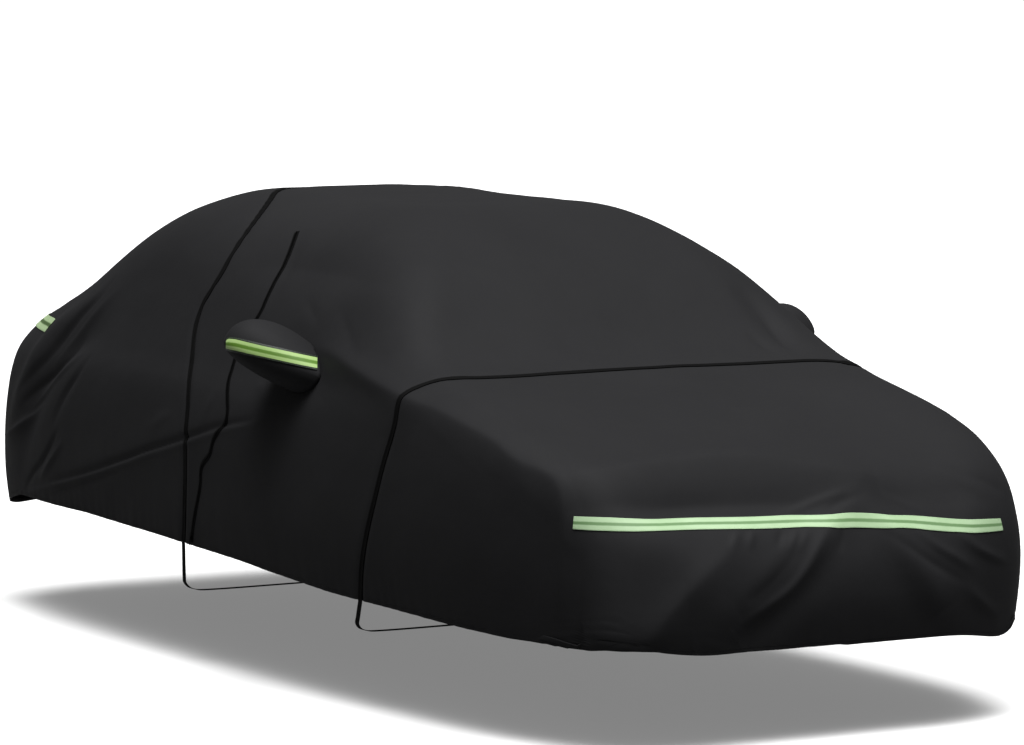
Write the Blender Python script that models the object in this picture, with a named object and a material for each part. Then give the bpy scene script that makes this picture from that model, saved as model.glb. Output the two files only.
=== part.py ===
"""A fitted car cover, as it hangs in use.

The cloth is one shell from the nose hem to the tail hem. Mirror pockets, straps, a zip and
reflective strips are pieces of their own, sewn or laid on its outside.

Lengths are in metres. The nose points to -Y and the cover's left side to +X. Heights are
measured from the ground; place() moves them to the part's own frame, whose origin lies under
the middle of the roof, on the face that the cover rests on.
"""
import math

import bmesh
import bpy
import numpy as np
from mathutils import Vector
from mathutils.bvhtree import BVHTree

# --- Driving dimensions ---------------------------------------------------------------------
ROOF_MOUNT_HEIGHT = 1.494     # where the cover rests, above the ground: the part's origin
CLOTH_THICKNESS = 0.0025
EDGE_ROUNDING = 0.235         # how softly the top turns over into the sides
COLUMNS_A_SIDE = 21           # grid columns from the centre line to one hem

STRAP_WIDTH = 0.020
STRAP_THICKNESS = 0.002
ZIP_WIDTH = 0.014
ZIP_THICKNESS = 0.002
STRIP_WIDTH = 0.050
STRIP_THICKNESS = 0.0012
POCKET_STRIP_WIDTH = 0.032
POCKET_STRIP_STEPS = 14
CLEARANCE = 0.002             # laid or sewn pieces stay this far off the cloth

# The cover's outline on its centre line, from under the nose to under the tail.
# Columns: y, height.
PROFILE = (
    (-2.170, 0.12), (-2.205, 0.25), (-2.225, 0.42), (-2.195, 0.56),   # bumper
    (-2.110, 0.68), (-1.960, 0.81), (-1.555, 0.95), (-1.165, 1.055),  # bonnet
    (-1.000, 1.13), (-0.670, 1.345), (-0.290, 1.480),                 # windscreen
    (0.040, 1.500), (0.400, 1.505), (0.820, 1.515),                   # roof
    (1.190, 1.395), (1.490, 1.215), (1.745, 1.11), (1.955, 1.04),     # rear window, boot
    (2.060, 0.93), (2.110, 0.80), (2.130, 0.60), (2.100, 0.42), (2.050, 0.26), (2.000, 0.10),
)
# Half the cover's width along its length, at hip height.
# Columns: y, half width.
PLAN = (
    (-2.30, 0.42), (-2.20, 0.595), (-2.10, 0.73), (-1.95, 0.81), (-1.70, 0.89), (-1.30, 0.93),
    (-0.50, 0.945), (0.50, 0.92), (1.20, 0.885), (1.60, 0.84), (1.85, 0.79), (2.00, 0.73),
    (2.12, 0.62), (2.25, 0.41),
)
# What share of that width the cover has at each height: it leans in over the windows.
# Columns: height, share.
LEAN = (
    (0.10, 0.955), (0.30, 1.0), (0.50, 1.025), (0.70, 1.015), (0.88, 0.98),
    (1.00, 0.92), (1.20, 0.81), (1.40, 0.69), (1.50, 0.60),
)
# The hem's height along each side; elastic draws it up at the tail and lets it dip in front.
# Columns: y, right height, left height.
HEM = (
    (-2.25, 0.302, 0.275), (-1.80, 0.302, 0.295), (-1.30, 0.330, 0.335), (-0.80, 0.345, 0.345),
    (-0.20, 0.380, 0.380), (0.50, 0.405, 0.410), (1.00, 0.415, 0.415), (1.80, 0.410, 0.415),
    (2.10, 0.400, 0.405),
)
# Threads across the cover. Each runs from the centre line over a shoulder point and a waist
# point down to the hem. steps is the number of grid rows up to the next thread.
# Columns: name, steps, y, height, shoulder y, shoulder height, waist y, waist height, hem y.
THREADS = (
    ("nose_hem", 2, -2.215, 0.29, -2.14, 0.290, -2.07, 0.290, -2.00),
    ("bumper", 3, -2.225, 0.42, -2.02, 0.385, -1.80, 0.345, -1.62),
    ("nose", 3, -2.175, 0.60, -1.92, 0.505, -1.68, 0.415, -1.44),
    ("bonnet_lip", 3, -2.035, 0.75, -1.80, 0.615, -1.55, 0.475, -1.31),
    ("bonnet_front", 4, -1.800, 0.88, -1.60, 0.730, -1.40, 0.560, -1.19),
    ("bonnet_middle", 4, -1.500, 0.97, -1.36, 0.850, -1.25, 0.640, -1.08),
    ("bonnet_rear", 3, -1.215, 1.04, -1.115, 0.950, -1.105, 0.760, -0.965),
    ("windscreen_foot", 3, -0.960, 1.15, -0.90, 1.000, -0.87, 0.760, -0.76),
    ("windscreen", 4, -0.670, 1.345, -0.62, 1.080, -0.61, 0.760, -0.54),
    ("windscreen_head", 4, -0.290, 1.480, -0.31, 1.130, -0.33, 0.760, -0.22),
    ("door_front", 4, 0.060, 1.500, 0.005, 1.160, 0.005, 0.760, 0.155),
    ("door_rear", 3, 0.430, 1.505, 0.435, 1.170, 0.215, 0.760, 0.215),
    ("roof_rear", 4, 0.780, 1.515, 0.70, 1.170, 0.52, 0.780, 0.44),
    ("rear_window", 4, 1.190, 1.395, 1.03, 1.100, 0.85, 0.760, 0.72),
    ("boot_front", 3, 1.600, 1.165, 1.38, 0.960, 1.16, 0.700, 0.98),
    ("boot_lip", 3, 1.960, 1.035, 1.70, 0.840, 1.42, 0.630, 1.18),
    ("tail_top", 3, 2.085, 0.870, 1.86, 0.720, 1.60, 0.560, 1.33),
    ("tail", 3, 2.130, 0.620, 1.96, 0.550, 1.74, 0.480, 1.46),
    ("tail_hem", 0, 2.095, 0.400, 1.98, 0.400, 1.84, 0.405, 1.68),
)
# Main folds: soft ridges (height above 0) and troughs (below 0) along a path on the cloth.
# Columns: name, height, half width, path.
FOLDS = (
    ("waist ridge, right", 0.014, 0.075,
     ((-0.86, 1.56, 0.42), (-0.93, 0.87, 0.59), (-0.94, 0.22, 0.76), (-0.92, -0.60, 0.90))),
    ("hollow under it, right", -0.014, 0.095,
     ((-0.90, 1.22, 0.42), (-0.95, 0.55, 0.53), (-0.96, -0.10, 0.62), (-0.95, -0.55, 0.70))),
    ("waist ridge, left", 0.013, 0.080,
     ((0.87, 1.48, 0.43), (0.93, 0.80, 0.62), (0.94, 0.05, 0.74), (0.93, -0.55, 0.88))),
    ("hollow under it, left", -0.014, 0.095,
     ((0.90, 1.10, 0.42), (0.95, 0.45, 0.54), (0.95, -0.20, 0.60), (0.95, -0.62, 0.72))),
    ("quarter ridge, right", 0.020, 0.065,
     ((-0.74, 1.17, 1.16), (-0.78, 1.49, 1.00), (-0.83, 1.62, 0.85), (-0.82, 1.78, 0.66))),
    ("quarter hollow, right", -0.022, 0.070,
     ((-0.80, 1.10, 1.04), (-0.84, 1.36, 0.90), (-0.86, 1.52, 0.74), (-0.85, 1.62, 0.56))),
    ("quarter ridge, left", 0.018, 0.070,
     ((0.74, 1.20, 1.15), (0.80, 1.47, 0.97), (0.84, 1.60, 0.80), (0.83, 1.74, 0.62))),
    ("quarter hollow, left", -0.020, 0.070,
     ((0.80, 1.14, 1.02), (0.85, 1.38, 0.84), (0.87, 1.50, 0.66))),
    ("nose pull, right", 0.022, 0.060,
     ((0.14, -2.09, 0.71), (-0.14, -2.20, 0.55), (-0.37, -2.22, 0.40))),
    ("nose pull hollow, right", -0.020, 0.065,
     ((0.02, -2.14, 0.62), (-0.22, -2.21, 0.44), (-0.36, -2.21, 0.31))),
    ("nose pull, left", 0.020, 0.055,
     ((0.14, -2.09, 0.71), (0.26, -2.20, 0.52), (0.36, -2.22, 0.36))),
    ("bonnet edge, left", 0.008, 0.060,
     ((0.67, -1.21, 1.04), (0.73, -1.58, 0.93), (0.73, -1.75, 0.87))),
    ("pillar trough, left", -0.018, 0.055,
     ((0.55, -0.80, 1.25), (0.57, -0.94, 1.17), (0.57, -1.12, 1.07))),
    ("tail pull, right", 0.018, 0.070,
     ((-0.10, 2.10, 0.84), (-0.34, 2.12, 0.62), (-0.52, 2.06, 0.45))),
    ("tail pull, left", 0.016, 0.070,
     ((0.16, 2.10, 0.86), (0.30, 2.12, 0.60), (0.38, 2.08, 0.44))),
)
# Where the straps cross the cloth: y by the angle from straight up, round a point on the
# centre plane at the given height. Both sides are alike.
STRAP_HUB_HEIGHT = 0.90
# Columns: degrees, y.
STRAPS = {
    "strap_front": (
        (0, -1.215), (40, -1.215), (70, -1.222), (77, -1.230), (79.5, -1.190), (82, -1.130),
        (85, -1.113), (90, -1.135), (96, -1.120), (103, -1.085), (110, -1.042), (117, -0.995),
        (123, -0.965)),
    "strap_rear": (
        (0, 0.740), (14, 0.710), (28, 0.600), (41, 0.490), (50, 0.405), (58, 0.388), (67, 0.425),
        (72, 0.440), (76, 0.413), (84, 0.330), (92, 0.240), (101, 0.207), (111, 0.200),
        (119, 0.228)),
}
# How far back each strap drifts from the hem down to its turn inwards, and that turn.
STRAP_DRIFTS = {"strap_front": 0.045, "strap_rear": 0.0}
# Columns: half width, height.
STRAP_TURN = ((0.940, 0.290), (0.935, 0.260), (0.905, 0.241), (0.830, 0.235))
STRAP_SPANS_BELOW = 4             # spans of the straight run between the two turns
# The zip runs down the right side; it wanders where the cloth is drawn together.
# Columns: height, y.
ZIP_PATH = (
    (0.30, 0.200), (0.39, 0.165), (0.51, 0.115), (0.64, 0.080), (0.69, 0.020), (0.77, 0.010),
    (0.81, -0.070), (0.86, -0.070), (0.94, 0.000), (1.15, 0.000), (1.31, 0.015), (1.42, 0.085),
)
ZIP_TOP_HEIGHT = 1.415
ZIP_END_HEIGHT = 0.405
# Where the reflective strips cross the cloth: a level plane, tilted a little to one side.
# Columns: name, height, rise per metre left, right end x, left end x.
STRIP_FRONT = ("strip_front", 0.636, -0.050, -0.795, 0.655)
STRIP_REAR = ("strip_rear", 0.995, 0.0, -0.784, 0.784)

# The mirror pockets: domes on an oval base, with the tip drawn back and lifted.
# Columns: name, side, base height, depth, tip lift (side -1 is the right).
POCKETS = (
    ("mirror_pocket_right", -1, 1.035, 0.222, 0.088),
    ("mirror_pocket_left", 1, 1.025, 0.243, 0.048),
)
POCKET_BASE_Y = -0.430
POCKET_HALF_LENGTH = 0.122
POCKET_HALF_HEIGHT = 0.100
POCKET_TILT = math.radians(-16)   # the base's front end lies lower
POCKET_SWEEP = 0.068              # how far the tip lies behind the middle of the base
POCKET_BLUNTNESS = (3.6, 0.5)     # powers of the dome's section
POCKET_THICKNESS = 0.002
POCKET_SEAM = 0.016               # how far the pocket's edge laps over the cut-out in the cloth
POCKET_SPOKES = 28
POCKET_RINGS = 7
# The strip on the right pocket, as shares of the base's half length and half height.
POCKET_STRIP_START = (-0.90, -0.40)
POCKET_STRIP_END = (0.30, -0.30)

BLACK = (0.012, 0.012, 0.013)
STRAP_BLACK = (0.004, 0.004, 0.004)
PALE_GREEN = (0.42, 0.68, 0.36)


# --- Small tools ----------------------------------------------------------------------------
def place(point):
    """A point with its height above the ground, in the part's own frame."""
    return (float(point[0]), float(point[1]), float(point[2]) - ROOF_MOUNT_HEIGHT)


def make_material(name, colour, roughness):
    material = bpy.data.materials.new(name)
    material.use_nodes = True
    shader = material.node_tree.nodes["Principled BSDF"]
    shader.inputs["Base Color"].default_value = (*colour, 1.0)
    shader.inputs["Roughness"].default_value = roughness
    shader.inputs["Metallic"].default_value = 0.0
    return material


def make_object(name, vertices, faces, material):
    mesh = bpy.data.meshes.new(name)
    mesh.from_pydata([place(v) for v in vertices], [], [tuple(int(i) for i in f) for f in faces])
    mesh.validate()
    for polygon in mesh.polygons:
        polygon.use_smooth = True
    obj = bpy.data.objects.new(name, mesh)
    bpy.context.scene.collection.objects.link(obj)
    obj.data.materials.append(material)
    return obj


def face_outwards(obj):
    """Turn the faces of a closed mesh to the outside."""
    bm = bmesh.new()
    bm.from_mesh(obj.data)
    bmesh.ops.recalc_face_normals(bm, faces=bm.faces)
    if bm.calc_volume(signed=True) < 0:
        bmesh.ops.reverse_faces(bm, faces=bm.faces)
    bm.to_mesh(obj.data)
    bm.free()


def smooth_curve(points, steps=8):
    """A smooth curve through the points, with a few steps between each two of them."""
    p = np.array(points, dtype=float)
    p = np.vstack([2 * p[0] - p[1], p, 2 * p[-1] - p[-2]])
    t = np.linspace(0, 1, steps, endpoint=False)[:, None]
    spans = []
    for a, b, c, d in zip(p, p[1:], p[2:], p[3:]):
        spans.append(0.5 * (2 * b + (c - a) * t + (2 * a - 5 * b + 4 * c - d) * t ** 2
                            + (3 * b - a - 3 * c + d) * t ** 3))
    spans.append(p[-2][None])
    return np.vstack(spans)


def unit(vectors):
    return vectors / np.linalg.norm(vectors, axis=-1, keepdims=True)


# --- The form that the cloth lies on --------------------------------------------------------
SIDE = smooth_curve(PROFILE)
SIDE_LOOP = np.vstack([SIDE, [SIDE[-1, 0], -1.0], [SIDE[0, 0], -1.0]])
WIDTHS = smooth_curve(PLAN)
SHARES = smooth_curve(LEAN)


def outside_profile(y, height):
    """How far a point is outside the centre line's outline; below 0 inside it."""
    points = np.stack([y, height], -1)[..., None, :]
    start, along = SIDE[:-1], np.diff(SIDE, axis=0)
    t = np.clip(((points - start) * along).sum(-1) / (along ** 2).sum(-1), 0, 1)
    distance = np.linalg.norm(points - start - t[..., None] * along, axis=-1).min(-1)
    y0, h0 = SIDE_LOOP.T
    y1, h1 = np.roll(SIDE_LOOP, -1, axis=0).T
    spans = (h0 > height[..., None]) != (h1 > height[..., None])
    rise = np.where(h1 == h0, 1.0, h1 - h0)
    crossing = (y1 - y0) * (height[..., None] - h0) / rise + y0
    inside = (spans & (y[..., None] < crossing)).sum(-1) % 2 == 1
    return np.where(inside, -distance, distance)


def outside(x, y, height):
    """How far a point is outside the form: its outline and its width, blended at the edges."""
    top = outside_profile(y, height)
    half_width = np.interp(y, *WIDTHS.T) * np.interp(height, *SHARES.T)
    side = np.abs(x) - half_width
    blend = np.maximum(EDGE_ROUNDING - np.abs(top - side), 0) / EDGE_ROUNDING
    return np.maximum(top, side) + blend ** 2 * EDGE_ROUNDING / 4


# --- The grid of threads ---------------------------------------------------------------------
def spread_threads():
    """All grid rows as (y, height, shoulder, waist, hem) values, and where each thread lies."""
    stations, names, count = [], {}, 0
    for name, steps, *_ in THREADS:
        names[name] = count
        stations.append(count)
        count += steps
    values = np.array([thread[2:] for thread in THREADS], dtype=float)
    rows = np.arange(count + 1)
    fine = smooth_curve(np.column_stack([stations, values]))
    return np.column_stack([np.interp(rows, fine[:, 0], fine[:, k]) for k in range(1, 8)]), names


def guide_of(row, hem_heights):
    """The path, in the centre plane, that a thread follows while it swings out to the hem."""
    y, height, shoulder_y, shoulder_height, waist_y, waist_height, hem_y = row
    hem_height = np.interp(hem_y, *hem_heights)
    return smooth_curve([(y, height), (shoulder_y, shoulder_height), (waist_y, waist_height),
                         (hem_y, hem_height)], 5)


def half_thread(guide, side, samples=72):
    """One thread from the centre line to the hem, on the side -1 (right) or +1 (left)."""
    lengths = np.concatenate([[0], np.cumsum(np.linalg.norm(np.diff(guide, axis=0), axis=1))])
    lead_in = unit(guide[0] - guide[1])
    angle = np.linspace(0, math.pi / 2, samples)

    def point(radius):
        travelled = lengths[-1] - radius * np.cos(angle)
        before = np.minimum(travelled, 0)
        y = np.interp(travelled, lengths, guide[:, 0]) - before * lead_in[0]
        height = np.interp(travelled, lengths, guide[:, 1]) - before * lead_in[1]
        return side * radius * np.sin(angle), y, height

    near, far = np.zeros(samples), np.full(samples, 2.6)
    for _ in range(26):
        middle = (near + far) / 2
        is_out = outside(*point(middle)) > 0
        far = np.where(is_out, middle, far)
        near = np.where(is_out, near, middle)
    line = np.stack(point(near), -1)
    run = np.concatenate([[0], np.cumsum(np.linalg.norm(np.diff(line, axis=0), axis=1))])
    shares = np.linspace(0, run[-1], COLUMNS_A_SIDE + 1)
    return np.column_stack([np.interp(shares, run, line[:, k]) for k in range(3)])


def fold_lift(points):
    """How far the main folds lift each point off the form."""
    lift = np.zeros(points.shape[:-1])
    for _, height, half_width, path in FOLDS:
        line = smooth_curve(path, 4)
        start, along = line[:-1], np.diff(line, axis=0)
        rel = points[..., None, :] - start
        t = np.clip((rel * along).sum(-1) / (along ** 2).sum(-1), 0, 1)
        distance = np.linalg.norm(rel - t[..., None] * along, axis=-1)
        nearest = distance.argmin(-1)[..., None]
        travelled = (nearest[..., 0] + np.take_along_axis(t, nearest, -1)[..., 0]) / len(start)
        fade = np.sin(math.pi * np.clip(travelled * 0.92 + 0.04, 0, 1)) ** 0.7
        across = np.take_along_axis(distance, nearest, -1)[..., 0] / half_width
        lift += height * fade * np.exp(-across ** 2)
    return lift


def grid_normals(grid):
    """Outward normals of the grid: rows run nose to tail, columns right hem to left hem."""
    down = np.gradient(grid, axis=0)
    across = np.gradient(grid, axis=1)
    return unit(np.cross(across, down))


def cloth_grid():
    """The cloth's outer face as rows x columns of points, and the row of each thread."""
    rows, names = spread_threads()
    hem_y, right, left = np.array(HEM).T
    grid = []
    for row in rows:
        right_half = half_thread(guide_of(row, (hem_y, right)), -1)
        left_half = half_thread(guide_of(row, (hem_y, left)), 1)
        grid.append(np.vstack([right_half[::-1], left_half[1:]]))
    grid = np.array(grid)
    return grid + grid_normals(grid) * fold_lift(grid)[..., None], names


# --- Pieces ----------------------------------------------------------------------------------
def grid_triangles(rows, columns):
    """Both triangles of every cell of a grid, facing out."""
    faces = []
    for i in range(rows - 1):
        for j in range(columns - 1):
            a, b = i * columns + j, i * columns + j + 1
            c, d = a + columns, b + columns
            faces += [(a, b, c), (b, d, c)]
    return faces


def make_cloth(grid, material):
    rows, columns = grid.shape[:2]
    obj = make_object("cover_cloth", grid.reshape(-1, 3), grid_triangles(rows, columns), material)
    wall = obj.modifiers.new("cloth thickness", "SOLIDIFY")
    wall.thickness = CLOTH_THICKNESS
    wall.offset = -1.0
    return obj


def pocket_base(along, up):
    """A point of the pockets' oval base, from shares of its half length and half height."""
    y, height = along * POCKET_HALF_LENGTH, up * POCKET_HALF_HEIGHT
    turn, slope = math.cos(POCKET_TILT), math.sin(POCKET_TILT)
    return y * turn + height * slope, height * turn - y * slope


def cut_pocket_opening(cloth, pocket):
    """Cut the oval that a mirror passes through, under its pocket."""
    name, side, base_height, _, _ = pocket
    bpy.ops.mesh.primitive_cylinder_add(vertices=POCKET_SPOKES, radius=1.0, depth=0.5)
    cutter = bpy.context.object
    cutter.name = name + "_cutter"
    share = 1.0 - POCKET_SEAM / POCKET_HALF_HEIGHT
    for vertex in cutter.data.vertices:
        y, height = pocket_base(vertex.co.y * share, vertex.co.x * share)
        vertex.co = (vertex.co.z, y, height)
    face_outwards(cutter)
    cutter.location = place((side * 0.86, POCKET_BASE_Y, base_height))
    cutter.hide_render = True
    cutter.display_type = "WIRE"
    cut = cloth.modifiers.new("mirror opening", "BOOLEAN")
    cut.operation = "DIFFERENCE"
    cut.solver = "EXACT"
    cut.object = cutter


def on_column(grid, normals, row, column, shift=0.0):
    """The point and normal on a column's line, shift metres on from a (fractional) row."""
    line = grid[:, column]
    run = np.concatenate([[0], np.cumsum(np.linalg.norm(np.diff(line, axis=0), axis=1))])
    at = np.interp(row, np.arange(len(run)), run) + shift
    point = np.array([np.interp(at, run, line[:, k]) for k in range(3)])
    normal = np.array([np.interp(at, run, normals[:, column, k]) for k in range(3)])
    return point, unit(normal)


def on_cloth(grid, normals, row, column, shift=0.0):
    """The same for a column that may lie between two of the grid's columns."""
    before = min(int(column), grid.shape[1] - 2)
    share = column - before
    near, near_normal = on_column(grid, normals, row, before, shift)
    far, far_normal = on_column(grid, normals, row, before + 1, shift)
    return near + (far - near) * share, unit(near_normal + (far_normal - near_normal) * share)


def row_where(grid, column, rows, measure):
    """The fractional row, in the order given, where a measure of the points falls below 0."""
    before = min(int(column), grid.shape[1] - 2)
    line = grid[:, before] + (grid[:, before + 1] - grid[:, before]) * (column - before)
    values = [measure(line[row]) for row in rows]
    for k in range(len(values) - 1):
        if values[k] > 0 >= values[k + 1]:
            share = values[k] / (values[k] - values[k + 1])
            return rows[k] + share * (rows[k + 1] - rows[k]), line[rows[k]]
    return None, None


def gap_to_cloth(tree, point):
    """How far a point is outside the cloth's facets; below 0 inside them."""
    nearest, normal, _, _ = tree.find_nearest(Vector(point))
    return (Vector(point) - nearest).dot(normal)


def lift_clear(tree, base, normals, lifts):
    """Raise a band's points until its lower face clears the cloth's facets all over."""
    shares = np.linspace(0, 1, 5)
    for _ in range(4):
        lower = base + normals * lifts[..., None]
        for s in range(len(base) - 1):
            for a in range(base.shape[1] - 1):
                near, far = lower[s, a:a + 2], lower[s + 1, a:a + 2]
                short = 0.0
                for u in shares:
                    for v in shares:
                        left = near[0] + (near[1] - near[0]) * v
                        right = far[0] + (far[1] - far[0]) * v
                        gap = gap_to_cloth(tree, left + (right - left) * u)
                        short = max(short, CLEARANCE - gap)
                if short > 0.0001:
                    raised = lifts[s:s + 2, a:a + 2] + short
                    lifts[s:s + 2, a:a + 2] = raised
    return lifts


def band_sections(grid, tree, stations, width, thickness, points_across=3):
    """Cross-sections of a band laid on the cloth, one for each (row, column) station."""
    base = np.empty((len(stations), points_across, 3))
    normals = np.empty_like(base)
    cloth_normals = grid_normals(grid)
    for s, (row, column) in enumerate(stations):
        for a, shift in enumerate(np.linspace(-width / 2, width / 2, points_across)):
            base[s, a], normals[s, a] = on_cloth(grid, cloth_normals, row, column, shift)
    lifts = lift_clear(tree, base, normals, np.full(base.shape[:2], CLEARANCE))
    lower = base + normals * lifts[..., None]
    upper = lower + normals * thickness
    return [list(below) + list(above[::-1]) for below, above in zip(lower, upper)]


def skin_sections(name, sections, material, closed_loop=False, same_diagonals=False):
    """One solid through all the cross-sections, capped at its ends unless it is a loop.

    same_diagonals splits the lower and the upper face alike, so that the two faces of a wide,
    thin band stay apart where it twists.
    """
    count = len(sections[0])
    half = count // 2
    vertices = [point for section in sections for point in section]
    faces = []
    spans = len(sections) if closed_loop else len(sections) - 1
    for s in range(spans):
        here, there = s * count, (s + 1) % len(sections) * count
        for k in range(count):
            n = (k + 1) % count
            a, b, c, d = here + k, here + n, there + n, there + k
            if not same_diagonals:
                faces.append((a, b, c, d))
            elif k < half:
                faces += [(a, b, c), (a, c, d)]
            else:
                faces += [(a, b, d), (b, c, d)]
    if not closed_loop:
        for base in (0, (len(sections) - 1) * count):
            for k in range(half - 1):
                faces.append((base + k, base + k + 1, base + count - 2 - k, base + count - 1 - k))
    obj = make_object(name, vertices, faces, material)
    face_outwards(obj)
    return obj


def make_strap(grid, tree, name, material):
    """A strap across the cloth, closed to a loop by a run below the hem."""
    drift_y = STRAP_DRIFTS[name]
    degrees, ys = smooth_curve(STRAPS[name]).T

    def before_strap(point):
        angle = math.degrees(math.atan2(abs(point[0]), point[2] - STRAP_HUB_HEIGHT))
        return np.interp(angle, degrees, ys) - point[1]

    rows = range(grid.shape[0])
    stations = [(row_where(grid, column, rows, before_strap)[0], column)
                for column in range(grid.shape[1])]
    sections = band_sections(grid, tree, stations, STRAP_WIDTH, STRAP_THICKNESS, 2)
    left_end = np.mean(sections[-1], axis=0)
    right_end = np.mean(sections[0], axis=0)
    bottom = STRAP_TURN[-1][1]

    def leg(side, end):
        return [(side * x, end[1] + drift_y * (end[2] - height) / (end[2] - bottom), height)
                for x, height in STRAP_TURN]

    left, right = leg(1, left_end), leg(-1, right_end)
    below = [tuple(point) for point in np.linspace(left[-1], right[-1], STRAP_SPANS_BELOW + 1)]
    path = np.array(left[:-1] + below + right[-2::-1])
    ends = np.vstack([left_end, path, right_end])
    for point, tangent in zip(path, unit(ends[2:] - ends[:-2])):
        out = unit(np.cross(tangent, (0.0, 1.0, 0.0)))
        across = unit(np.cross(out, tangent)) * STRAP_WIDTH / 2
        inner = point - out * STRAP_THICKNESS / 2
        outer = point + out * STRAP_THICKNESS / 2
        sections.append([inner - across, inner + across, outer + across, outer - across])
    return skin_sections(name, sections, material, closed_loop=True)


def make_zip(grid, tree, rows, material):
    """The zip beside the right front door, from the roof's edge to just above the hem."""
    heights, ys = np.array(ZIP_PATH).T

    def before_zip(point):
        return np.interp(point[2], heights, ys) - point[1]

    stations = []
    for column in np.arange(0, COLUMNS_A_SIDE, 0.5):
        row, point = row_where(grid, column, rows, before_zip)
        if row is not None and ZIP_END_HEIGHT < point[2] < ZIP_TOP_HEIGHT:
            stations.append((row, column))
    sections = band_sections(grid, tree, stations, ZIP_WIDTH, ZIP_THICKNESS, 2)
    return skin_sections("door_zip", sections, material)


def make_strip(grid, tree, strip, rows, material):
    """A reflective strip where the cloth crosses a nearly level plane at the nose or tail."""
    name, height, rise, right_end, left_end = strip

    def above_strip(point):
        return point[2] - height - rise * point[0]

    found = [(column, *row_where(grid, column, rows, above_strip))
             for column in range(grid.shape[1])]
    found = [(column, point[0]) for column, row, point in found if row is not None]
    crossed, xs = np.array(found).T
    first, last = np.interp((right_end, left_end), xs, crossed)
    columns = [first, *np.arange(math.floor(first) + 1, math.ceil(last)), last]
    stations = [(row_where(grid, column, rows, above_strip)[0], column) for column in columns]
    sections = band_sections(grid, tree, stations, STRIP_WIDTH, STRIP_THICKNESS, 3)
    return skin_sections(name, sections, material, same_diagonals=True)


def pocket_point(tree, pocket, along, up, lift):
    """A point of a mirror pocket over a point of its base, given in shares of its half sizes."""
    _, side, base_height, full_depth, tip_lift = pocket
    from_middle = min(math.hypot(along, up), 1.0)
    power, root = POCKET_BLUNTNESS
    share = (1 - from_middle ** power) ** root
    y, height = pocket_base(along, up)
    y += POCKET_BASE_Y
    height += base_height
    on_side = tree.ray_cast(Vector((side * 2.0, y, height)), Vector((-side, 0.0, 0.0)))[0]
    x = on_side.x + side * (lift + full_depth * share)
    return np.array([x, y + POCKET_SWEEP * share, height + tip_lift * share])


def make_pocket(tree, pocket, material):
    """A mirror pocket: a domed ear whose edge lies on the cloth, round the oval opening."""
    name, side = pocket[:2]
    vertices = [pocket_point(tree, pocket, 0.0, 0.0, CLEARANCE)]
    faces = []
    for ring in range(1, POCKET_RINGS + 1):
        share = math.sin(ring / POCKET_RINGS * math.pi / 2)
        for spoke in range(POCKET_SPOKES):
            angle = spoke / POCKET_SPOKES * 2 * math.pi
            along, up = share * math.cos(angle), share * math.sin(angle)
            vertices.append(pocket_point(tree, pocket, along, up, CLEARANCE))
    for spoke in range(POCKET_SPOKES):
        after = (spoke + 1) % POCKET_SPOKES
        faces.append((0, 1 + spoke, 1 + after))
        for ring in range(POCKET_RINGS - 1):
            inner = 1 + ring * POCKET_SPOKES
            outer = inner + POCKET_SPOKES
            faces.append((inner + spoke, outer + spoke, outer + after, inner + after))
    if side < 0:
        faces = [face[::-1] for face in faces]
    obj = make_object(name, vertices, faces, material)
    wall = obj.modifiers.new("cloth thickness", "SOLIDIFY")
    wall.thickness = POCKET_THICKNESS
    wall.offset = 1.0
    return obj


def make_pocket_strip(tree, pocket, material):
    """The reflective strip along the front and outer face of a pocket, from root to tip."""
    start, end = np.array(POCKET_STRIP_START), np.array(POCKET_STRIP_END)
    half = POCKET_STRIP_WIDTH / 2 / POCKET_HALF_HEIGHT
    rows = []
    for share in np.linspace(0, 1, POCKET_STRIP_STEPS):
        along, up = start + (end - start) * share
        rows.append([pocket_point(tree, pocket, along, up + step * half, 0.0)
                     for step in (-1, 0, 1)])
    base = np.array(rows)
    out = unit(np.cross(np.gradient(base, axis=1), np.gradient(base, axis=0)))
    out *= np.sign(out[POCKET_STRIP_STEPS // 2, 1, 0]) * pocket[1]
    lower = base + out * (2 * CLEARANCE + POCKET_THICKNESS)
    upper = lower + out * STRIP_THICKNESS
    sections = [list(below) + list(above[::-1]) for below, above in zip(lower, upper)]
    return skin_sections("strip_mirror_right", sections, material, same_diagonals=True)


# --- Build -----------------------------------------------------------------------------------
def build():
    for obj in list(bpy.data.objects):
        bpy.data.objects.remove(obj, do_unlink=True)

    black_cloth = make_material("black_cloth", BLACK, 0.55)
    black_webbing = make_material("black_webbing", STRAP_BLACK, 0.7)
    black_zip = make_material("black_zip", STRAP_BLACK, 0.45)
    reflective = make_material("reflective", PALE_GREEN, 0.35)

    grid, row_of = cloth_grid()
    cloth = make_cloth(grid, black_cloth)
    outer_points = [Vector(point) for point in grid.reshape(-1, 3)]
    tree = BVHTree.FromPolygons(outer_points, grid_triangles(*grid.shape[:2]))
    for pocket in POCKETS:
        cut_pocket_opening(cloth, pocket)
        make_pocket(tree, pocket, black_cloth)
    make_pocket_strip(tree, POCKETS[0], reflective)

    for name in STRAPS:
        make_strap(grid, tree, name, black_webbing)
    make_zip(grid, tree, range(row_of["bonnet_rear"], row_of["door_rear"] + 1), black_zip)
    middle = row_of["door_front"]
    make_strip(grid, tree, STRIP_FRONT, range(middle, -1, -1), reflective)
    make_strip(grid, tree, STRIP_REAR, range(middle, grid.shape[0]), reflective)


build()
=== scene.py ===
# %% [markdown]
# # A fitted car cover
# The real cover is one soft shell of black coated polyester. It is cut to fit, is drawn in by
# elastic at its hem, and carries mirror pockets, two straps, a door zip and reflective strips.
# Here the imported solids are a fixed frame, and every visible piece is made new around them.

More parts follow.
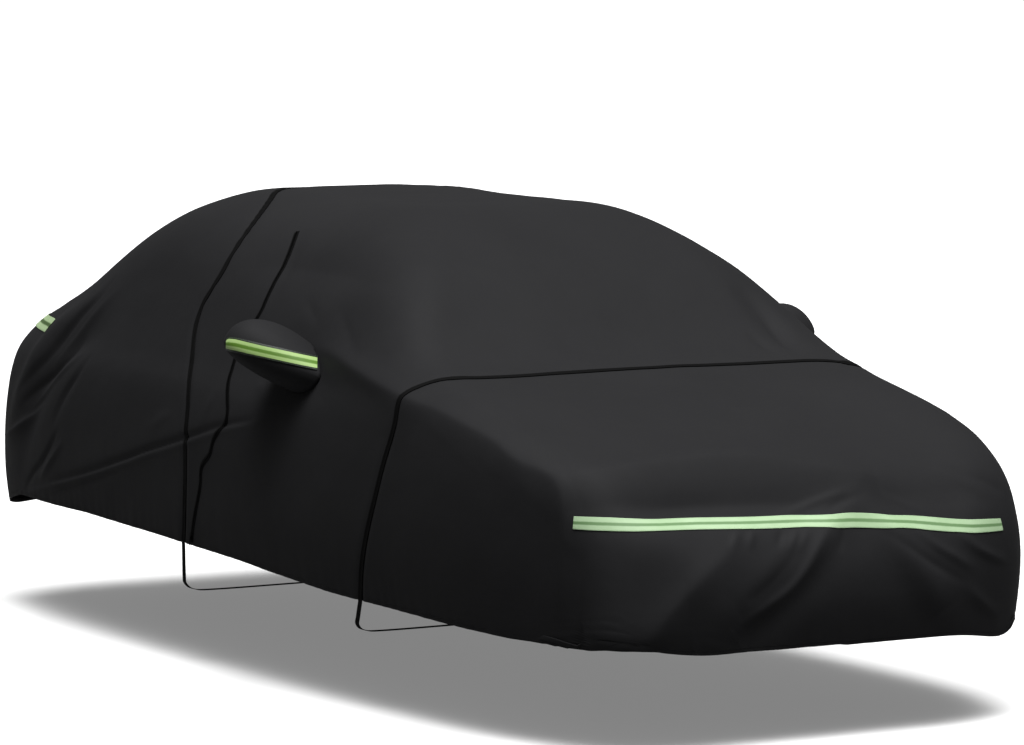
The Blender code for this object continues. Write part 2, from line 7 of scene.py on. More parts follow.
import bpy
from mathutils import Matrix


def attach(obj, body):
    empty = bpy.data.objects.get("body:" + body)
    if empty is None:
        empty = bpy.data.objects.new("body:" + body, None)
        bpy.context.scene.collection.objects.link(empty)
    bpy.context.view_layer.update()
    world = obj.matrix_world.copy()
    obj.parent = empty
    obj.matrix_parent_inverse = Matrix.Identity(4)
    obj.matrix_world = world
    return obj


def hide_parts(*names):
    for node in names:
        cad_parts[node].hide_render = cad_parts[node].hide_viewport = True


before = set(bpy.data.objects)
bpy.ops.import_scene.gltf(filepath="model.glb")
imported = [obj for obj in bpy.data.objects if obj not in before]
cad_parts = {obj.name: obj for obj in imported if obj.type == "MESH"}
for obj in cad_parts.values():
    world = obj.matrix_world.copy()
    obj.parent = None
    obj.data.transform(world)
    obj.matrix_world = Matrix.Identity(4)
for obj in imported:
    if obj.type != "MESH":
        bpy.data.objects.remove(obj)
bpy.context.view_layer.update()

# %% Python's tools
import math

import bpy
import numpy as np
from mathutils import Vector, noise
from mathutils.bvhtree import BVHTree

# %% [markdown]
# ## The camera
# The picture is taken from far back with a long lens, a little above the cover, off its right front
# corner. A long lens keeps the near and the far end of the cover almost the same size. The picture
# is 1024 by 745 pixels. All places are in the part's own frame, whose origin lies under the
# middle of the roof, 1.494 m above the ground.

# %% The camera
ROOF_HEIGHT = 1.494                          # the origin's height above the ground
CAMERA_PLACE = (-8.687, -14.877, 0.951)
CAMERA_TURN, CAMERA_DROP = -30.794, 5.026    # degrees
LENS, SENSOR = 182.63, 36.0                  # millimetres
PICTURE = (1024, 745)                        # pixels


def deselect_all():
    """Leave nothing selected, because an operator acts on all that is."""
    for obj in bpy.context.selected_objects:
        obj.select_set(False)


def select_only(obj):
    """Select one piece, and make it the one that operators act on."""
    deselect_all()
    obj.select_set(True)
    bpy.context.view_layer.objects.active = obj


deselect_all()
bpy.ops.object.camera_add(location=CAMERA_PLACE, rotation=(
    math.radians(90 - CAMERA_DROP), 0, math.radians(CAMERA_TURN)))
camera = bpy.context.object
camera.data.lens, camera.data.sensor_width = LENS, SENSOR
camera.data.clip_start, camera.data.clip_end = 0.1, 200
bpy.context.scene.camera = camera
bpy.context.view_layer.update()


def sight_line(u, v):
    """From the camera through a pixel of the picture: the start and the direction."""
    pixels = LENS / SENSOR * PICTURE[0]
    aim = Vector(((u - PICTURE[0] / 2) / pixels, (PICTURE[1] / 2 - v) / pixels, -1))
    turned = camera.matrix_world.to_quaternion() @ aim
    return camera.matrix_world.translation.copy(), turned.normalized()


print("camera looks along", [round(c, 3) for c in sight_line(512, 372.5)[1]])

# %% [markdown]
# ## The form under the cloth
# A sheet like this could be dropped on a rounded block by Blender's cloth simulation. The
# cover is cut to fit, though, so it takes the shape that it was sewn to. That shape is worked out
# here from the same real sizes as the part's source: an outline on the centre line, the width
# along the length, and how far the sides lean in. Threads across the cover then follow it.

# %% Sizes of the form, in metres, with heights above the ground
# How softly the top turns over into the sides. Columns: y, on the right, on the left.
EDGE_ROUNDINGS = (
    (-2.30, 0.14, 0.20), (-1.90, 0.12, 0.21), (-1.20, 0.12, 0.23), (-0.95, 0.14, 0.235),
    (-0.70, 0.21, 0.235), (-0.45, 0.29, 0.235), (-0.10, 0.36, 0.235), (0.50, 0.30, 0.235),
    (1.00, 0.235, 0.235), (2.20, 0.235, 0.235),
)
COLUMNS_A_SIDE = 42         # table columns from the centre line to one hem
ROWS_A_STEP = 2             # table rows for each step of THREADS

# The outline on the centre line. Columns: y, height.
PROFILE = (
    (-2.170, 0.12), (-2.205, 0.25), (-2.225, 0.42), (-2.195, 0.56),   # nose
    (-2.110, 0.68), (-1.960, 0.81), (-1.555, 0.95), (-1.165, 1.055),  # bonnet panel
    (-1.000, 1.13), (-0.670, 1.345), (-0.290, 1.480),                 # windscreen panel
    (0.040, 1.500), (0.400, 1.505), (0.820, 1.515),                   # roof panel
    (1.190, 1.395), (1.490, 1.215), (1.745, 1.11), (1.955, 1.04),     # rear panels
    (2.060, 0.93), (2.110, 0.80), (2.130, 0.60), (2.100, 0.42), (2.050, 0.26), (2.000, 0.10),
)
# Half the width at hip height. Columns: y, half width.
PLAN = (
    (-2.30, 0.42), (-2.20, 0.595), (-2.10, 0.73), (-1.95, 0.81), (-1.70, 0.89), (-1.30, 0.93),
    (-0.50, 0.945), (0.50, 0.92), (1.20, 0.885), (1.60, 0.84), (1.85, 0.79), (2.00, 0.73),
    (2.12, 0.62), (2.25, 0.41),
)
# What share of that width the cover has at each height. Columns: height, share.
LEAN = (
    (0.10, 0.955), (0.30, 1.0), (0.50, 1.025), (0.70, 1.015), (0.88, 0.98),
    (1.00, 0.92), (1.20, 0.81), (1.40, 0.69), (1.50, 0.60),
)
# The hem along each side. Columns: y, right height, left height.
HEM = (
    (-2.25, 0.318, 0.278), (-1.80, 0.310, 0.288), (-1.30, 0.330, 0.335), (-0.80, 0.345, 0.345),
    (-0.20, 0.380, 0.380), (0.50, 0.405, 0.410), (1.00, 0.415, 0.415), (1.80, 0.410, 0.415),
    (2.10, 0.400, 0.405),
)
# How much the nose's hem rises on the right and sinks on the left, and over how many rows.
NOSE_TILT, TILTED_ROWS = 0.026, 2.5
# Threads across the cover, from the centre line over a shoulder and a waist point to the hem.
# Columns: name, steps to the next, y, height, shoulder y, height, waist y, height, hem y.
THREADS = (
    ("nose_hem", 2, -2.215, 0.284, -2.14, 0.283, -2.07, 0.297, -2.00),
    ("bumper", 3, -2.225, 0.42, -2.02, 0.385, -1.80, 0.345, -1.62),
    ("nose", 3, -2.175, 0.60, -1.92, 0.505, -1.68, 0.415, -1.44),
    ("bonnet_lip", 3, -2.035, 0.75, -1.80, 0.615, -1.55, 0.475, -1.31),
    ("bonnet_front", 4, -1.800, 0.88, -1.60, 0.730, -1.40, 0.560, -1.19),
    ("bonnet_middle", 4, -1.500, 0.97, -1.36, 0.850, -1.25, 0.640, -1.08),
    ("bonnet_rear", 3, -1.215, 1.04, -1.115, 0.950, -1.105, 0.760, -0.965),
    ("windscreen_foot", 3, -0.960, 1.15, -0.90, 1.000, -0.87, 0.760, -0.76),
    ("windscreen", 4, -0.670, 1.345, -0.62, 1.080, -0.61, 0.760, -0.54),
    ("windscreen_head", 4, -0.290, 1.480, -0.31, 1.130, -0.33, 0.760, -0.22),
    ("door_front", 4, 0.060, 1.500, 0.005, 1.160, 0.005, 0.760, 0.155),
    ("door_rear", 3, 0.430, 1.505, 0.435, 1.170, 0.215, 0.760, 0.215),
    ("roof_rear", 4, 0.780, 1.515, 0.70, 1.170, 0.52, 0.780, 0.44),
    ("rear_window", 4, 1.190, 1.395, 1.03, 1.100, 0.85, 0.760, 0.72),
    ("boot_front", 3, 1.600, 1.165, 1.38, 0.960, 1.16, 0.700, 0.98),
    ("boot_lip", 3, 1.960, 1.035, 1.70, 0.840, 1.42, 0.630, 1.18),
    ("tail_top", 3, 2.085, 0.870, 1.86, 0.720, 1.60, 0.560, 1.33),
    ("tail", 3, 2.130, 0.620, 1.96, 0.550, 1.74, 0.480, 1.46),
    ("tail_hem", 0, 2.090, 0.345, 1.98, 0.345, 1.84, 0.380, 1.68),
)

# %% Curves, and how far a point is outside the form


def from_b_to_c(a, b, c, d, t):
    """The part of a smooth curve through four points that runs from b (t is 0) to c (t is 1)."""
    return 0.5 * (2 * b + (c - a) * t + (2 * a - 5 * b + 4 * c - d) * t ** 2
                  + (3 * b - a - 3 * c + d) * t ** 3)


def smooth_curve(points, steps=8):
    """A smooth curve through the points, with a few steps between each two of them."""
    p = np.array(points, dtype=float)
    p = np.vstack([2 * p[0] - p[1], p, 2 * p[-1] - p[-2]])
    t = np.linspace(0, 1, steps, endpoint=False)[:, None]
    spans = [from_b_to_c(a, b, c, d, t) for a, b, c, d in zip(p, p[1:], p[2:], p[3:])]
    return np.vstack([*spans, p[-2][None]])


def unit(vectors):
    """The same directions, each one long."""
    return vectors / np.linalg.norm(vectors, axis=-1, keepdims=True)


def run_along(points):
    """How far along a line each of its points lies."""
    spans = np.linalg.norm(np.diff(points, axis=0), axis=1)
    return np.concatenate([[0], np.cumsum(spans)])


def read_at(rows, run, at):
    """Rows of x, y and z that are known along a run, read at other places on it."""
    return np.column_stack([np.interp(at, run, rows[:, k]) for k in range(3)])


SIDE, WIDTHS, SHARES = smooth_curve(PROFILE), smooth_curve(PLAN), smooth_curve(LEAN)
SIDE_LOOP = np.vstack([SIDE, [SIDE[-1, 0], -1.0], [SIDE[0, 0], -1.0]])


def outside_profile(y, height):
    """How far a point is outside the centre line's outline; below 0 inside it."""
    points = np.stack([y, height], -1)[..., None, :]
    start, along = SIDE[:-1], np.diff(SIDE, axis=0)
    t = np.clip(((points - start) * along).sum(-1) / (along ** 2).sum(-1), 0, 1)
    distance = np.linalg.norm(points - start - t[..., None] * along, axis=-1).min(-1)
    y0, h0 = SIDE_LOOP.T
    y1, h1 = np.roll(SIDE_LOOP, -1, axis=0).T
    spans = (h0 > height[..., None]) != (h1 > height[..., None])
    rise = np.where(h1 == h0, 1.0, h1 - h0)
    crossing = (y1 - y0) * (height[..., None] - h0) / rise + y0
    inside = (spans & (y[..., None] < crossing)).sum(-1) % 2 == 1
    return np.where(inside, -distance, distance)


def outside(x, y, height):
    """How far a point is outside the form: its outline and its width, blended at the edges."""
    top = outside_profile(y, height)
    side = np.abs(x) - np.interp(y, *WIDTHS.T) * np.interp(height, *SHARES.T)
    places, right, left = np.array(EDGE_ROUNDINGS).T
    rounding = np.where(x < 0, np.interp(y, places, right), np.interp(y, places, left))
    blend = np.maximum(rounding - np.abs(top - side), 0) / rounding
    return np.maximum(top, side) + blend ** 2 * rounding / 4


print("the form is", round(float(np.ptp(SIDE[:, 0])), 3), "m long")

# %% The table of threads: rows from nose to tail, columns from right hem to left hem
THREAD_SAMPLES = 72         # places along a thread where the form is looked for
FARTHEST, HALVINGS = 2.6, 17        # metres out from the hem's foot, and how often that is halved


def half_thread(guide, side):
    """One thread from the centre line to the hem, on the side -1 (right) or +1 (left)."""
    lengths = run_along(guide)
    lead_in = unit(guide[0] - guide[1])
    angle = np.linspace(0, math.pi / 2, THREAD_SAMPLES)

    def point(radius):
        """For each angle, the place this far from the guide's foot, with the guide laid out flat."""
        travelled = lengths[-1] - radius * np.cos(angle)
        before = np.minimum(travelled, 0)
        y = np.interp(travelled, lengths, guide[:, 0]) - before * lead_in[0]
        height = np.interp(travelled, lengths, guide[:, 1]) - before * lead_in[1]
        return side * radius * np.sin(angle), y, height

    near, far = np.zeros(THREAD_SAMPLES), np.full(THREAD_SAMPLES, FARTHEST)
    for _ in range(HALVINGS):
        middle = (near + far) / 2
        is_out = outside(*point(middle)) > 0
        far = np.where(is_out, middle, far)
        near = np.where(is_out, near, middle)
    line = np.stack(point(near), -1)
    run = run_along(line)
    return read_at(line, run, np.linspace(0, run[-1], COLUMNS_A_SIDE + 1))


def thread_table():
    """Points on the bare form, as rows x columns."""
    stations = np.cumsum([0] + [thread[1] for thread in THREADS[:-1]])
    fine = smooth_curve(np.column_stack([stations, [thread[2:] for thread in THREADS]]))
    rows = np.arange(0, stations[-1] + 0.01, 1 / ROWS_A_STEP)
    hem_y, *hem_heights = np.array(HEM).T
    table = []
    for row in rows:
        y, h, y1, h1, y2, h2, y3 = (np.interp(row, fine[:, 0], fine[:, k]) for k in range(1, 8))
        halves, tilt = [], NOSE_TILT * max(1 - row / TILTED_ROWS, 0)
        for side, heights in zip((-1, 1), hem_heights):
            end = (y3, np.interp(y3, hem_y, heights))
            guide = [(y, h), (y1, h1 - side * tilt), (y2, h2), end]
            halves.append(half_thread(smooth_curve(guide, 5), side))
        table.append(np.vstack([halves[0][::-1], halves[1][1:]]))
    return np.array(table)


form_table = thread_table()
print("form table:", form_table.shape[:2])

# %% [markdown]
# ## The sheet's own mesh
# The sheet is one flat grid of cells, laid out like the cloth before it is hung. Each vertex is
# then moved to its place on the form. The cells are smaller on the right side and in front,
# which the camera sees, and larger on the far side.

# %% Where the sheet's rows and columns lie in the table
SHEET_ROWS = 330
SHEET_COLUMNS = 290
# How close the rows and the columns lie. Columns: place from nose to tail or from right hem to
# left hem, closeness.
ROW_CLOSENESS = ((0.0, 1.5), (0.22, 1.3), (0.32, 0.9), (0.62, 0.8), (0.74, 1.3), (0.90, 1.3),
                 (1.0, 0.8))
COLUMN_CLOSENESS = ((0.0, 1.8), (0.25, 2.0), (0.35, 1.3), (0.62, 1.0), (0.75, 0.6), (1.0, 0.45))


def spread(count, closeness):
    """count places from 0 to 1, packed as closely as the table says."""
    at = np.linspace(0, 1, 400)
    filled = np.cumsum(np.interp(at, *np.array(closeness).T))
    return np.interp(np.linspace(filled[0], filled[-1], count), filled, at)


def between(table, at):
    """A smooth curve through the table's rows, read at fractional rows."""
    padded = np.concatenate([2 * table[:1] - table[1:2], table, 2 * table[-1:] - table[-2:-1]])
    start = np.clip(at.astype(int), 0, len(table) - 2)
    t = (at - start).reshape(-1, *[1] * (table.ndim - 1))
    return from_b_to_c(*(padded[start + k] for k in range(4)), t)


row_places = spread(SHEET_ROWS, ROW_CLOSENESS) * (len(form_table) - 1)
column_places = spread(SHEET_COLUMNS, COLUMN_CLOSENESS) * (form_table.shape[1] - 1)
form = between(form_table, row_places)
form = between(form.swapaxes(0, 1), column_places).swapaxes(0, 1)
form[..., 2] -= ROOF_HEIGHT


def grid_runs(grid):
    """How far along its row, and how far down its column, each point of a grid lies."""
    across = np.array([run_along(line) for line in grid])
    down = np.array([run_along(line) for line in grid.swapaxes(0, 1)]).T
    return across, down


def grid_normals(grid):
    """Outward normals of a grid of points."""
    return unit(np.cross(np.gradient(grid, axis=1), np.gradient(grid, axis=0)))


def grid_tree(grid):
    """A tree of the grid's cells, for casting rays at them."""
    rows, columns = grid.shape[:2]
    at = np.arange(rows * columns).reshape(rows, columns)
    cells = np.stack([at[:-1, :-1], at[:-1, 1:], at[1:, 1:], at[1:, :-1]], -1).reshape(-1, 4)
    return BVHTree.FromPolygons(grid.reshape(-1, 3).tolist(), cells.tolist())


form_normals = grid_normals(form)
form_tree = grid_tree(form)
print("sheet:", form.shape[:2], "vertices")

# %% [markdown]
# ## Folds
# Cloth shows where it is pulled. Each fold is a soft ridge or trough along a path, steeper on one
# side than the other, and it fades out at both ends. The large folds are the part's own. The finer
# ones are placed from a path drawn over the picture, which is cast back onto the form.

# %% The large folds
# Columns: height, half width, path of (x, y, height above the ground).
LARGE_FOLDS = (
    (0.004, 0.075, ((-0.86, 1.56, 0.42), (-0.93, 0.87, 0.59), (-0.94, 0.22, 0.76),
                    (-0.92, -0.60, 0.90))),
    (-0.003, 0.095, ((-0.90, 1.22, 0.42), (-0.95, 0.55, 0.53), (-0.96, -0.10, 0.62),
                     (-0.95, -0.55, 0.70))),
    (0.013, 0.080, ((0.87, 1.48, 0.43), (0.93, 0.80, 0.62), (0.94, 0.05, 0.74),
                    (0.93, -0.55, 0.88))),
    (-0.014, 0.095, ((0.90, 1.10, 0.42), (0.95, 0.45, 0.54), (0.95, -0.20, 0.60),
                     (0.95, -0.62, 0.72))),
    (0.020, 0.065, ((-0.74, 1.17, 1.16), (-0.78, 1.49, 1.00), (-0.83, 1.62, 0.85),
                    (-0.82, 1.78, 0.66))),
    (-0.022, 0.070, ((-0.80, 1.10, 1.04), (-0.84, 1.36, 0.90), (-0.86, 1.52, 0.74),
                     (-0.85, 1.62, 0.56))),
    (0.018, 0.070, ((0.74, 1.20, 1.15), (0.80, 1.47, 0.97), (0.84, 1.60, 0.80),
                    (0.83, 1.74, 0.62))),
    (-0.020, 0.070, ((0.80, 1.14, 1.02), (0.85, 1.38, 0.84), (0.87, 1.50, 0.66))),
    (0.022, 0.060, ((0.14, -2.09, 0.71), (-0.14, -2.20, 0.55), (-0.37, -2.22, 0.40))),
    (-0.020, 0.065, ((0.02, -2.14, 0.62), (-0.22, -2.21, 0.44), (-0.36, -2.21, 0.31))),
    (0.020, 0.055, ((0.14, -2.09, 0.71), (0.26, -2.20, 0.52), (0.36, -2.22, 0.36))),
    (-0.013, 0.090, ((0.68, -1.08, 1.05), (0.73, -1.38, 0.97), (0.76, -1.62, 0.89))),
    (-0.018, 0.055, ((0.55, -0.80, 1.25), (0.57, -0.94, 1.17), (0.57, -1.12, 1.07))),
    (0.018, 0.070, ((-0.10, 2.10, 0.84), (-0.34, 2.12, 0.62), (-0.52, 2.06, 0.45))),
    (0.016, 0.070, ((0.16, 2.10, 0.86), (0.30, 2.12, 0.60), (0.38, 2.08, 0.44))),
    (-0.031, 0.200, ((0.34, 1.30, 1.38), (0.44, 0.95, 1.47), (0.52, 0.60, 1.48))),
)


FOLD_SIDE = np.array((-0.6, -0.6, 0.5))     # from where a fold's left and right side are told
ROUND_CREST, SHARP_CREST = 2.0, 1.5
FOLD_START, FOLD_FADE = 0.04, 0.7           # how it swells from its ends to its middle


def fold_shape(points, height, half_width, path, lean=0.0, crest=ROUND_CREST):
    """How far one fold lifts each point. lean makes one side of it steeper than the other, and
    a lower crest makes its top sharper."""
    line = smooth_curve(path, 4)
    lift = np.zeros(len(points))
    reach = 3 * half_width
    near = np.all((points > line.min(0) - reach) & (points < line.max(0) + reach), axis=1)
    if not near.any():
        return lift
    start, along = line[:-1], np.diff(line, axis=0)
    rel = points[near][:, None, :] - start
    t = np.clip((rel * along).sum(-1) / (along ** 2).sum(-1), 0, 1)
    apart = rel - t[..., None] * along
    distance = np.linalg.norm(apart, axis=-1)
    nearest = distance.argmin(-1)[:, None]
    travelled = (nearest + np.take_along_axis(t, nearest, -1))[:, 0] / len(start)
    fade = np.sin(math.pi * (FOLD_START + travelled * (1 - 2 * FOLD_START))) ** FOLD_FADE
    offset = np.take_along_axis(apart, nearest[..., None], 1)[:, 0]
    side = np.sign(np.cross(along[nearest[:, 0]], offset) @ FOLD_SIDE)
    across = np.take_along_axis(distance, nearest, -1)[:, 0] / (half_width * (1 + lean * side))
    lift[near] = height * fade * np.exp(-across ** crest)
    return lift


points = form.reshape(-1, 3).copy()
lift = np.zeros(len(points))
for height, half_width, path in LARGE_FOLDS:
    path = [(x, y, z - ROOF_HEIGHT) for x, y, z in path]
    lift += fold_shape(points, height, half_width, path)
print("large folds: from", round(lift.min() * 1000), "to", round(lift.max() * 1000), "mm")

# %% The finer folds, drawn over the picture
# Columns: height in mm, half width in mm, lean, path of (u, v) in pixels.
DRAWN_FOLDS = (
    # the waistline from the mirror pocket to the nose, and the bonnet panel's front edge
    (26, 100, 0.0, ((312, 346), (340, 360), (370, 380), (405, 402), (425, 412))),
    (-20, 120, 0.0, ((255, 262), (300, 266), (345, 273), (385, 283))),
    (13, 40, 0.0, ((328, 348), (343, 358), (360, 370), (405, 400), (435, 411), (465, 426),
                   (495, 443), (515, 460), (540, 471), (557, 478))),
    (10, 40, 0.0, ((540, 470), (556, 482), (563, 500), (565, 530), (562, 570), (560, 610))),
    (36, 82, 0.0, ((570, 480), (615, 472), (660, 468), (730, 463), (780, 465), (830, 474),
                   (875, 478))),
    (-17, 62, 0.0, ((575, 508), (640, 506), (700, 504), (760, 503), (810, 505))),
    (36, 150, 0.0, ((585, 637), (610, 638), (640, 638), (690, 632))),
    # rear quarter
    (-12, 19, 0.3, ((112, 282), (98, 300), (82, 316), (67, 333), (54, 348), (40, 366), (24, 389))),
    (8, 18, 0.0, ((118, 290), (98, 312), (82, 330), (66, 347), (50, 366))),
    (-9, 14, 0.3, ((82, 338), (70, 352), (57, 365), (45, 377), (35, 388), (24, 403))),
    (7, 16, -0.3, ((82, 352), (67, 366), (53, 380), (40, 394), (29, 409))),
    (11, 19, 0.2, ((38, 407), (25, 420), (15, 430), (6, 437))),
    (-10, 18, 0.3, ((88, 358), (76, 376), (67, 390), (61, 402), (53, 422))),
    (-9, 14, 0.3, ((57, 430), (50, 445), (42, 460), (33, 472), (26, 486))),
    (7, 14, 0.0, ((62, 442), (51, 461), (41, 478))),
    # the crease at the waist: a sharp trough with a small ridge below it
    (-10, 11, 0.0, ((52, 481), (66, 477.5), (93, 470), (126, 458.5), (149, 450), (184, 439),
                   (214, 428.5), (232, 424), (252, 421))),
    (6, 10, 0.0, ((30, 492), (45, 487.5), (66, 482), (93, 474.5), (126, 462.5), (149, 453.5),
                  (184, 442.5), (214, 432), (232, 427.5), (262, 423))),
    (-5, 12, 0.0, ((48, 496), (66, 488.5), (93, 480), (118, 472))),
    (3, 20, 0.0, ((172, 412), (160, 420), (150, 427))),
    # round the zip and the mirror pocket
    (-4, 18, 0.0, ((303, 232), (292, 250), (285, 268), (274, 292), (268, 310))),
    (3, 14, 0.0, ((214, 394), (209, 404), (204, 418))),
    (3, 14, 0.0, ((259, 382), (260, 388), (259, 396))),
    (-3, 20, 0.0, ((305, 298), (311, 310), (318, 324))),
    (-3, 24, 0.0, ((340, 308), (350, 334), (362, 362))),
    # nose, above and below the strip
    (5, 12, 0.3, ((842, 494), (828, 498), (815, 502), (798, 508), (780, 514))),
    (-4, 12, 0.0, ((850, 500), (838, 505), (826, 512))),
    (3, 10, 0.0, ((880, 495), (893, 500), (907, 506), (925, 512))),
    (16, 28, 0.4, ((828, 530), (817, 548), (806, 568), (791, 588), (770, 605), (742, 624))),
    (-10, 30, 0.0, ((800, 545), (786, 566), (768, 586), (744, 604))),
    (16, 58, 0.2, ((742, 542), (709, 573), (683, 598), (662, 622), (646, 644))),
    (5, 10, 0.0, ((737, 533), (735, 540), (731, 550))),
    (5, 9, 0.0, ((752, 531), (751, 538), (749, 549))),
    (-5, 8, 0.0, ((782, 531), (780, 538), (777, 548))),
    (5, 9, 0.0, ((796, 531), (793, 540), (788, 552))),
    (4, 8, 0.0, ((806, 531), (802, 542), (796, 554))),
    (-4, 9, 0.0, ((842, 531), (841, 541), (839, 552))),
    (8, 13, 0.2, ((915, 530), (935, 545), (955, 557), (972, 568))),
    (-7, 13, 0.0, ((885, 534), (910, 550), (935, 565), (962, 581))),
    (8, 14, 0.2, ((958, 534), (980, 550), (1005, 562))),
    (6, 17, 0.0, ((968, 588), (982, 602), (997, 616))),
    (4, 16, 0.0, ((935, 468), (962, 482), (990, 500))),
    (-4, 16, 0.0, ((950, 466), (975, 478), (1002, 492))),
    # the windscreen panel's and the bonnet panel's far edges
    (-9, 22, 0.0, ((765, 313), (781, 334), (800, 354))),
    (-7, 20, 0.0, ((750, 333), (763, 345), (776, 355))),
    (5, 18, 0.0, ((838, 360), (875, 376), (914, 398), (950, 421))),
)


def cast(tree, pixels):
    """Where the sight lines through the pixels meet the sheet."""
    found = [tree.ray_cast(*sight_line(u, v))[0] for u, v in pixels]
    return [tuple(place) for place in found if place is not None]


for height, half_width, lean, pixels in DRAWN_FOLDS:
    path = cast(form_tree, pixels)
    if len(path) > 2:
        lift += fold_shape(points, height / 1000, half_width / 1000, path, lean, SHARP_CREST)
    else:
        print("fold off the form:", pixels[0])
print("all folds: from", round(lift.min() * 1000), "to", round(lift.max() * 1000), "mm")

# %% [markdown]
# ## Straps draw the cloth in, and the elastic hem gathers it
# A strap presses a shallow trough into the cloth, which bulges a little on both sides. The hem's
# elastic is shorter than the cloth, so the cloth ripples there, and the ripples die out upwards.
# Slow, faint swells all over keep the sheet from looking like sheet metal.

# %% Straps, hem and swells
STRAP_HUB_HEIGHT = 0.90
# Where each strap crosses, for the angle from straight up round a line at that height on the
# centre plane. Columns: degrees, y.
STRAPS = {
    "strap_front": (
        (0, -1.215), (40, -1.215), (70, -1.222), (78.5, -1.226), (80.7, -1.199), (82.8, -1.167),
        (85.5, -1.149), (90.6, -1.146), (97.2, -1.114), (103.4, -1.084), (110, -1.041),
        (117, -0.993), (123, -0.962)),
    "strap_rear": (
        (0, 0.740), (14, 0.728), (24, 0.712), (30, 0.668), (35, 0.597), (40, 0.532), (44.6, 0.481),
        (48.7, 0.447), (53, 0.424), (58.6, 0.404), (62.5, 0.396), (66.4, 0.402), (70.7, 0.416),
        (74, 0.410), (77, 0.395), (81.2, 0.353), (85.6, 0.305), (93, 0.234), (100.4, 0.209),
        (112.5, 0.200), (119, 0.228)),
}
STRAP_TROUGH, STRAP_BULGE = 0.0040, 0.0022
TROUGH_REACH, BULGE_REACH = 0.017, 0.055
RIPPLE_HEIGHT, RIPPLE_FADE = 0.0007, 0.060
# Columns: share of the height, length, how much the length wanders, how slowly.
RIPPLES = ((1.0, 0.0094, 1.4, 0.061), (0.7, 0.0217, 2.0, 0.113))
SWELLS = ((0.0035, 0.42, 3.0), (0.0011, 0.13, 11.0))   # height, size, and a place in the noise


def strap_y(name, angle):
    """Where a strap lies along the cover, at an angle in degrees round its hub."""
    return np.interp(angle, *smooth_curve(STRAPS[name]).T)


angle = np.degrees(np.arctan2(np.abs(points[:, 0]), points[:, 2] + ROOF_HEIGHT - STRAP_HUB_HEIGHT))
for name in STRAPS:
    apart = points[:, 1] - strap_y(name, angle)
    lift += STRAP_BULGE * np.exp(-(apart / BULGE_REACH) ** 2)
    lift -= (STRAP_TROUGH + STRAP_BULGE) * np.exp(-(apart / TROUGH_REACH) ** 2)

across, down = grid_runs(form)
to_ends = np.minimum(down, down[-1] - down)
to_sides = np.minimum(across, across[:, -1:] - across)
to_hem = np.minimum(to_ends, to_sides).reshape(-1)
place = np.where((to_ends < to_sides).reshape(-1), points[:, 0], points[:, 1])
ripple = sum(share * np.sin(place / length + wander * np.sin(place / slow))
             for share, length, wander, slow in RIPPLES)
lift += RIPPLE_HEIGHT * (ripple - 0.4) * np.exp(-to_hem / RIPPLE_FADE)

for height, size, start in SWELLS:
    lift += height * np.array([noise.noise(Vector(p) / size + Vector((start, 0, 0)))
                               for p in points])
sheet_points = (points + form_normals.reshape(-1, 3) * lift[:, None]).reshape(form.shape)
print("ripples up to", round(float(np.abs(ripple).max() * RIPPLE_HEIGHT * 1000), 1), "mm")

# %% [markdown]
# ## Making the sheet
# A flat grid from Blender's own menu already has a neat unwrapping. Its vertices are moved onto
# the folded form, and the unwrapping is stretched to metres, so that a weave has its true size.
# Two ovals are cut out under the mirror pockets. The cover itself stays one open layer, because
# it is only a third of a millimetre thick and its triangles are better spent on folds.

# %% Helpers for pieces made from a flat grid
MERGE_WITHIN = 0.00001      # vertices closer than this are one


def flat_piece(name, grid, width=None):
    """A grid primitive whose vertices are moved to the given rows x columns of points. With a
    width, the unwrapping is that wide everywhere, however narrow the piece becomes."""
    rows, columns = grid.shape[:2]
    deselect_all()
    bpy.ops.mesh.primitive_grid_add(x_subdivisions=columns - 1, y_subdivisions=rows - 1)
    obj = bpy.context.object
    obj.name = obj.data.name = name
    obj.data.vertices.foreach_set("co", grid.astype(np.float32).ravel())
    across, down = grid_runs(grid)
    if width:
        across[:] = np.linspace(0, width, columns)
    metres = np.stack([across, down], -1).reshape(-1, 2)
    corners = np.zeros(len(obj.data.loops), np.int32)
    obj.data.loops.foreach_get("vertex_index", corners)
    obj.data.uv_layers.active.data.foreach_set("uv", metres[corners].astype(np.float32).ravel())
    obj.data.update()
    bpy.ops.object.shade_smooth()
    return obj


def apply_all(obj):
    """Apply every modifier of a piece, in order."""
    select_only(obj)
    for modifier in list(obj.modifiers):
        bpy.ops.object.modifier_apply(modifier=modifier.name)


def pick_none(kind):
    """Set the active piece to the picking of edges or faces, with none picked so far."""
    bpy.ops.object.mode_set(mode="EDIT")
    bpy.ops.mesh.select_mode(type=kind)
    bpy.ops.mesh.select_all(action="DESELECT")
    bpy.ops.object.mode_set(mode="OBJECT")


def mend(merge=False, turn_out=False):
    """Merge the active piece's vertices where they lie together, or turn its faces outwards."""
    bpy.ops.object.mode_set(mode="EDIT")
    bpy.ops.mesh.select_all(action="SELECT")
    if merge:
        bpy.ops.mesh.remove_doubles(threshold=MERGE_WITHIN)
    if turn_out:
        bpy.ops.mesh.normals_make_consistent(inside=False)
    bpy.ops.object.mode_set(mode="OBJECT")


def thicken(obj, thickness, edge=0.0, offset=1.0):
    """Give a sheet its thickness, outwards or (offset -1) inwards, and round its edges if asked."""
    wall = obj.modifiers.new("thickness", "SOLIDIFY")
    wall.thickness, wall.offset = thickness, offset
    if edge:
        rounding = obj.modifiers.new("edges", "BEVEL")
        rounding.width, rounding.segments = edge, 2
        rounding.limit_method, rounding.angle_limit = "ANGLE", math.radians(50)
    apply_all(obj)
    return obj


